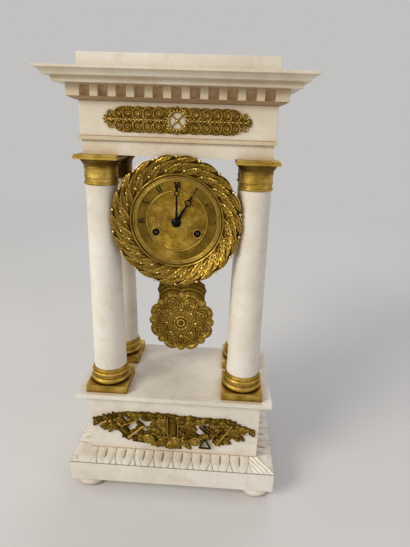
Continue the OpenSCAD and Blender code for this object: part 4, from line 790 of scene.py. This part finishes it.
def bezel_shape(u, v):
    """The whole ring: lip, slope with the laurel, lobed rim, and the plain back that seats on the drum."""
    front = 0.86
    a = 2 * np.pi * u
    pitch = 2 * math.pi / bundles
    rim = lobed(bezel_r - lobe_r, lobe_r, (a + pitch / 2) % pitch - pitch / 2)
    r = lip_in + (rim - lip_in) * rise(v, 0, front)
    leaf, edge = wreath((math.pi / 2 - a) % (2 * math.pi), r)
    on_wreath = rise(r, lip_out, 0.4) * rise(rim - r, 0, 0.6)
    ring = 0.8 * hump(r - lip_mid, 0.6)
    y = slope(r) - ring + on_wreath * (0.7 - 2.0 * leaf)
    y = y + rim_round * (1 - rise(rim - r, 0, rim_round)) ** 2
    mark = np.where(r < lip_out, 0.3 + 0.5 * ring, 0.12 + 0.46 * leaf + 0.3 * edge * (leaf > 0.2))
    mark = np.where(rim - r < 0.8, 0.85, mark)
    back = rise(v, front, 1 - front)
    to_seat = rim + (back_r - rim) * back / 0.3
    behind_r = np.where(back < 0.3, to_seat, np.interp(back, back_line[:, 0], back_line[:, 1]))
    on_back = v > front
    r = np.where(on_back, behind_r, r)
    y = np.where(on_back, np.interp(back, back_line[:, 0], back_line[:, 2]), y)
    return (r * np.cos(a), y, dial_z + r * np.sin(a)), np.where(on_back, 0.4, mark)


bm = sheet(bundles * 44, 66, bezel_shape)
for i in range(bundles):
    for r, shift, size in berries:
        a = math.radians(90 - shift - 360 / bundles * i)
        y = rim_berry_y if r > slope_out else slope(r) - berry_lift
        join(bm, bead(size, 1.0), upright(r * math.cos(a), y, dial_z + r * math.sin(a)))
fit(bm, "laurel_bezel", gilt_cast, "case", "gilt_bronze", "bezel")

# Dial: a turned brass disc, gilt, with a grained chapter ring, thin raised rings and an engine
# turned middle. It sits behind the bezel lip, on feet in the front plate.
# Gilt dial: matt gold, crossed by fine curved cuts in the middle and browned by wear.
# The cuts are drawn coarser than the real ones, so that they show in the render.
cuts_round, cut_gap, turned_r, middle_r = 48.0, 3.2, 26.8, 30.2
gilt_dial, tree, shader, here = fresh("engine turned gilt dial")
centred = add(tree, "Mapping",
              {"Vector": here, "Location": (0.0, 0.0, -dial_z * mm), "Scale": (1.0, 0.0, 1.0)})
reach = add(tree, "VectorMath", {0: centred}, operation="LENGTH")
axes = add(tree, "SeparateXYZ", {0: centred})
angle = add(tree, "Math", {0: axes.outputs["Z"], 1: axes.outputs["X"]}, operation="ARCTAN2")
turn = add(tree, "Math", {0: angle, 1: cuts_round}, operation="MULTIPLY")
cuts = []
for hand in (1.0, -1.0):
    sweep = add(tree, "Math", {0: reach, 1: hand * 2 * math.pi / (cut_gap * mm), 2: turn},
                operation="MULTIPLY_ADD")
    cuts.append(add(tree, "Math", {0: sweep}, operation="COSINE"))
diamond = add(tree, "Math", {0: cuts[0], 1: cuts[1]}, operation="MULTIPLY")
inner = add(tree, "Math", {0: reach, 1: turned_r * mm}, operation="LESS_THAN")
turned_middle = add(tree, "Math", {0: diamond, 1: inner}, operation="MULTIPLY")
wear = add(tree, "TexNoise", {"Vector": here, "Scale": 1 / (11 * mm), "Detail": 7.0, "Roughness": 0.66})
tarnish = add(tree, "Math", {0: turned_middle, 1: 0.18, 2: wear}, operation="MULTIPLY_ADD")
ring_tone = add(tree, "ValToRGB", {"Fac": tarnish}, [(0.3, "#675017"), (0.5, "#8A6D27"), (0.68, "#A68738")])
mid_tone = add(tree, "ValToRGB", {"Fac": tarnish}, [(0.3, "#785A1A"), (0.5, "#A6832C"), (0.68, "#D2AF56")])
middle = add(tree, "Math", {0: reach, 1: middle_r * mm}, operation="LESS_THAN")
tone = add(tree, "Mix", {0: middle, 6: ring_tone, 7: mid_tone}, **as_blend)
grain = add(tree, "TexNoise", {"Vector": here, "Scale": 1 / (0.8 * mm), "Detail": 2.0})
cut_height = add(tree, "Math", {0: turned_middle, 1: 1.2, 2: grain}, operation="MULTIPLY_ADD")
skin = add(tree, "Bump", {"Height": cut_height, "Strength": 0.4, "Distance": 0.3 * mm})
gloss = add(tree, "MapRange", {"Value": wear, **noise_span, "To Min": 0.55, "To Max": 0.42})
# The fine cuts lean one way round the dial, so the shine gathers in two fans, over and under the middle.
around = add(tree, "Tangent", direction_type="RADIAL", axis="Y")
feed(tree, shader, {"Base Color": tone, "Roughness": gloss, "Normal": skin, "Metallic": 1.0,
                    "Tangent": around, "Anisotropic": 0.85, "Anisotropic Rotation": 0.38})
dress(["dial"], gilt_dial)

# Dial rings and hole edges: fine turned ridges left proud of the dial by the lathe, bright
# where the gilding has rubbed, and a chamfered ring round each winding hole.
hole_x, hole_z, hole_ring, on_dial = 21, -11.6, (3.7, 5.0, (4.35,)), dial_front + 0.02


def turned_band(inner, outer, ridges, wide=0.6, high=0.45):
    """A ring cut on the lathe, with a rounded ridge at each radius, flat on its back."""
    face = 0.8

    def shape(u, v):
        a = 2 * np.pi * u
        r = inner + (outer - inner) * rise(v, 0, face) * (1 - rise(v, face, 1 - face))
        ridge = sum(np.exp(-((r - place) / wide) ** 4) for place in ridges)
        z = np.where((v > 0.001) & (v < face - 0.001), 0.05 + high * ridge, 0)
        return (r * np.cos(a), r * np.sin(a), z), 0.3 + 0.4 * ridge
    return sheet(round(2 * math.pi * outer / 0.6), 40, shape)


bm = blank()
for x, z, (inner, outer, ridges) in (
    (0, 0, (29.6, 31.2, (30.4,))), (0, 0, (40.1, 44.9, (40.9, 42.3, 43.9))),
    (-hole_x, hole_z, hole_ring), (hole_x, hole_z, hole_ring),
):
    lay(bm, turned_band(inner, outer, ridges), x, z)
bmesh.ops.transform(bm, matrix=upright(0, on_dial, dial_z), verts=bm.verts)
fit(bm, "dial_ridges", gilt_cast, "case", "gilt_bronze")

# Numerals: Roman hours in black wax, laid into the chapter ring and mostly rubbed away. Thick
# strokes have lasted longer than thin ones, and the lower hours are gone.
# Worn black wax: dull black where it is thick, the gilding showing through where it is thin.
numeral_r, numeral_tall, wax_high, thick_half, thin_half = 35.9, 6.6, 0.12, 0.8, 0.25
wax_gone, wax_whole = 0.62, 0.95
worn_wax, tree, shader, here = fresh("worn black wax")
kept = add(tree, "Attribute", attribute_name="relief")
rub = add(tree, "TexNoise", {"Vector": here, "Scale": 1 / (3.5 * mm), "Detail": 4.0, "Roughness": 0.6})
left = add(tree, "Math", {0: kept.outputs["Fac"], 1: rub}, operation="ADD")
tone = add(tree, "ValToRGB", {"Fac": left}, [(wax_gone, "#8A6D27"), (wax_whole, "#0C0905")])
metal = add(tree, "MapRange",
            {"Value": left, "From Min": wax_gone, "From Max": wax_whole, "To Min": 1.0, "To Max": 0.0})
feed(tree, shader, {"Base Color": tone, "Metallic": metal, "Roughness": 0.75, "Specular IOR Level": 0.2})
# Wax that is left in the thick and in the thin strokes of each hour.
hours = (("XII", 0.75, 0.5), ("I", 0.4, 0.0), ("II", 0.3, 0.1), ("III", 0.25, 0.08), ("IIII", 0.0, 0.0),
         ("V", 0.0, 0.0), ("VI", 0.0, 0.0), ("VII", 0.0, 0.0), ("VIII", 0.22, 0.15), ("IX", 0.7, 0.05),
         ("X", 0.7, 0.1), ("XI", 0.85, 0.1))
# Strokes of each letter: top and bottom places in mm from its middle, and whether the stroke is thick.
letter_strokes = {"I": ((0.0, 0.0, True),), "V": ((-1.1, 0.0, True), (1.1, 0.0, False)),
                  "X": ((-0.7, 0.7, True), (0.7, -0.7, False))}
letter_wide = {"I": 1.8, "V": 3.0, "X": 3.4}
bm = blank()
for hour, (word, thick_left, thin_left) in enumerate(hours):
    turn = Matrix.Rotation(-hour * math.pi / 6, 4, "Z")
    spot = -sum(letter_wide[letter] for letter in word) / 2
    for letter in word:
        spot += letter_wide[letter] / 2
        for top, foot, thick in letter_strokes[letter]:
            wax = thick_left if thick else thin_left
            if not wax:
                continue
            line = straight(spot + foot, -numeral_tall / 2, spot + top, numeral_tall / 2)
            stroke = strand(line, thick_half if thick else thin_half, wax_high, 6, 6)
            layer = stroke.verts.layers.float["relief"]
            for vert in stroke.verts:
                vert[layer] = wax
            join(bm, stroke, turn @ Matrix.Translation((0, numeral_r * mm, 0)))
        spot += letter_wide[letter] / 2
bmesh.ops.transform(bm, matrix=upright(0, on_dial, dial_z), verts=bm.verts)
fit(bm, "hour_numerals", worn_wax, "case", "gilt_bronze")

# Movement: two brass plates on four pillars, brass wheels with cut teeth on steel arbors, and
# two spring barrels, held to the drum from behind.
dress(["front_plate", "back_plate", "plate_pillars", "going_barrel", "strike_barrel", "second_wheel",
       "centre_wheel", "third_wheel", "escape_wheel", "minute_wheel", "hour_wheel"], brass)
dress(["anchor", "cannon_pinion", "suspension_spring", "pendulum_rod", "bell_stand", "hammer"], steel)
dress(["suspension_cock", "rating_nut", "bell_nut", "bell"], brass)

# Hands: sawn from steel sheet, filed, polished and blued nearly black, the hour hand on the hour
# wheel pipe and the minute hand held by a domed collet.
# Blued steel: nearly black by now, with a cold and a brown tinge in the shine.
blued, tree, shader, here = fresh("blued steel")
temper = add(tree, "TexNoise", {"Vector": here, "Scale": 1 / (12 * mm), "Detail": 4.0})
tone = add(tree, "ValToRGB", {"Fac": temper}, [(0.3, "#0F0E10"), (0.55, "#19181C"), (0.75, "#2A2119")])
gloss = add(tree, "MapRange", {"Value": temper, "To Min": 0.25, "To Max": 0.45})
feed(tree, shader, {"Base Color": tone, "Roughness": gloss, "Metallic": 0.9})
dress(["hour_hand", "minute_hand"], blued, 0.15)
dress(["going_arbor", "strike_arbor"], iron)
dress(["hand_collet"], blued, 0.2)

# Pendulum bob: a cast, domed and gilt rosette with roses, plump lobes and beads, on a swagged
# collar that slides on the steel rod and rests on the rating nut.
bob_z, bob_back, bob_face, bob_r = 180.7, 23.0, 20.5, 41.0
bob_large, bob_small, bob_count, small_in, back_mark = 11.6, 5.0, 8, 0.5, 0.42
dome_r, dome_high, rose_out, bead_out, bead_lift = 32.8, 4.5, 27.1, 17.8, 0.9
field_r, rose_r, rose_ring, boss_r, boss_ring = 26.0, 8.7, 2.9, 10.6, 4.3
dome_ball = (dome_r ** 2 + dome_high ** 2) / (2 * dome_high)


def bob_dome(r):
    """Rise of the domed middle over the plate."""
    return np.clip(np.sqrt(dome_ball ** 2 - np.clip(r, 0, bob_r) ** 2) - dome_ball + dome_high, 0, None)


def wave(r, pitch):
    """Round waves from 0 to 1, with a crest in the middle and one at each pitch."""
    return 0.5 + 0.5 * np.cos(2 * np.pi * r / pitch)


def bob_shape(u, v):
    """The lobed disc, from its middle out to the rim and round to the flat back."""
    front = 0.9
    a = 2 * np.pi * u
    turn = 2 * math.pi / bob_count
    off = a % turn - turn / 2
    gap = (a + turn / 2) % turn - turn / 2
    large_at, small_at = bob_r - bob_large, bob_r - small_in - bob_small
    rim = np.maximum(lobed(large_at, bob_large, off), lobed(small_at, bob_small, gap))
    rim = np.maximum(rim, bob_r - bob_large / 2)
    r = rim * rise(v, 0, front)
    dome = bob_dome(r)
    large = np.hypot(r * np.cos(off) - large_at, r * np.sin(off)) / bob_large
    small = np.hypot(r * np.cos(gap) - small_at, r * np.sin(gap)) / bob_small
    lobe = np.sqrt(np.clip(1 - np.minimum(large, small) ** 2, 0, 1))
    seam = np.abs(np.cos(16 * a)) * rise(r, 33, 3)
    h = dome + 1.9 * lobe * rise(r, field_r, 6) + 0.25 * seam
    mark = 0.28 + 0.26 * lobe + 0.16 * seam
    # The dotted field, the ripples round the roses, the roses, and the boss in the middle.
    dots = np.abs(np.sin(20 * a)) * np.abs(np.sin(np.pi * r / 2.6))
    on = r < field_r
    h = np.where(on, dome + 0.3 + 0.7 * dots, h)
    mark = np.where(on, 0.34 + 0.45 * dots, mark)
    rose_x, rose_y = r * np.cos(off) - rose_out, r * np.sin(off)
    rho, psi = np.hypot(rose_x, rose_y), np.arctan2(rose_y, rose_x)
    ripple = wave(rho, 1.9) * np.abs(np.sin(9 * psi))
    on = (rho >= rose_r) & (r > field_r)
    h = np.where(on, h + 0.35 * ripple, h)
    mark = np.where(on, mark + 0.2 * ripple, mark)
    petal = 1 - 0.55 * np.abs(np.sin(2.5 * psi + 2.2 * np.floor(rho / rose_ring + 0.5)))
    petal = wave(rho, rose_ring) * petal
    on = rho < rose_r
    h = np.where(on, dome + 0.6 + 1.2 * petal + 0.06 * (rose_r - rho), h)
    mark = np.where(on, 0.3 + 0.6 * petal, mark)
    petal = 1 - 0.45 * np.abs(np.sin(6 * a + 0.8 * np.floor(r / boss_ring + 0.5)))
    petal = wave(r, boss_ring) * petal
    on = r < boss_r
    h = np.where(on, dome + 0.5 + 1.4 * petal, h)
    mark = np.where(on, 0.3 + 0.6 * petal, mark)
    y = bob_face - h * np.sqrt(rise(rim - r, 0, 0.9))
    back = rise(v, front, 1 - front)
    on_back = v > front
    r = np.where(on_back, rim * rise(1 - back, 0, 0.6), r)
    y = np.where(on_back, bob_face + (bob_back - bob_face) * rise(back, 0, 0.4), y)
    return (r * np.cos(a), y, bob_z + r * np.sin(a)), np.where(on_back, back_mark, mark)


bm = sheet(bob_count * 48, 84, bob_shape)
for i in range(bob_count):
    a = i * 2 * math.pi / bob_count
    y = bob_face - bob_dome(bead_out) - bead_lift
    join(bm, bead(1.9, 1.1), upright(bead_out * math.cos(a), y, bob_z + bead_out * math.sin(a)))
# Half width of the collar at heights over the middle of the bob, and the swags round the top roses.
collar_line = np.array(((20.0, 22.0), (25.8, 28.0), (36.9, 28.0), (41.8, 30.0), (45.9, 28.2), (50.0, 27.6),
                        (54.0, 22.0), (58.0, 17.5), (62.0, 6.0), (64.5, 1.5)))
collar_foot, collar_tall, collar_inset = 20, 44.5, 0.3
swag_x, swag_up, swag_r, swag_step = 10.4, 25.0, 9.8, 4.8
eye_x, eye_up = 10, 57


def collar_shape(u, v):
    """The swagged front of the collar, folded round its sides to a flat back that meets behind the rod."""
    to_seam = np.minimum(u, 1 - u)
    q = 2 * rise(u, 0.08, 0.84) - 1
    up = collar_foot + collar_tall * v
    x = q * np.interp(up, collar_line[:, 0], collar_line[:, 1]) * rise(to_seam, 0, 0.045)
    swag = wave(np.hypot(np.abs(x) - swag_x, up - swag_up) - swag_r, swag_step)
    around = np.arctan2(up - swag_up, np.abs(x) - swag_x)
    swag = swag * np.clip((56 - up) / 12, 0.25, 1) * (0.45 + 0.55 * np.abs(np.sin(9 * around + 0.35 * up)))
    eye = hump(np.abs(x) - eye_x, 2.6) * hump(up - eye_up, 1.8)
    swell = np.sqrt(np.clip(1 - q ** 4, 0, 1))
    y = bob_face - swell * (0.6 + 1.0 * swag) + 1.2 * eye
    on_back = to_seam < 0.05
    # The two sunk eyes are marked darker: painted shade in the sunk eyes.
    mark = np.clip(0.26 + 0.36 * swag * swell - 0.25 * eye, 0, 1)
    return (x, np.where(on_back, bob_back - collar_inset, y), bob_z + up), np.where(on_back, back_mark, mark)


join(bm, close(sheet(110, 70, collar_shape)))
# A lug behind the bob, through which the rod passes.
lug_wide, lug_deep, lug_tall, lug_y, lug_up, lug_eased = 10, 6.4, 9, 26.1, 10.5, 0.8
lug = blank()
bmesh.ops.create_cube(lug, size=1.0)
bmesh.ops.scale(lug, vec=(lug_wide * mm, lug_deep * mm, lug_tall * mm), verts=lug.verts)
bmesh.ops.translate(lug, vec=(0, lug_y * mm, (bob_z + lug_up) * mm), verts=lug.verts)
bmesh.ops.bevel(lug, geom=lug.edges[:], offset=lug_eased * mm, segments=2, profile=0.5, affect="EDGES",
                material=-1)
join(bm, lug)
fit(bm, "rose_bob", gilt_cast, "pendulum", "gilt_bronze", "pendulum_bob")
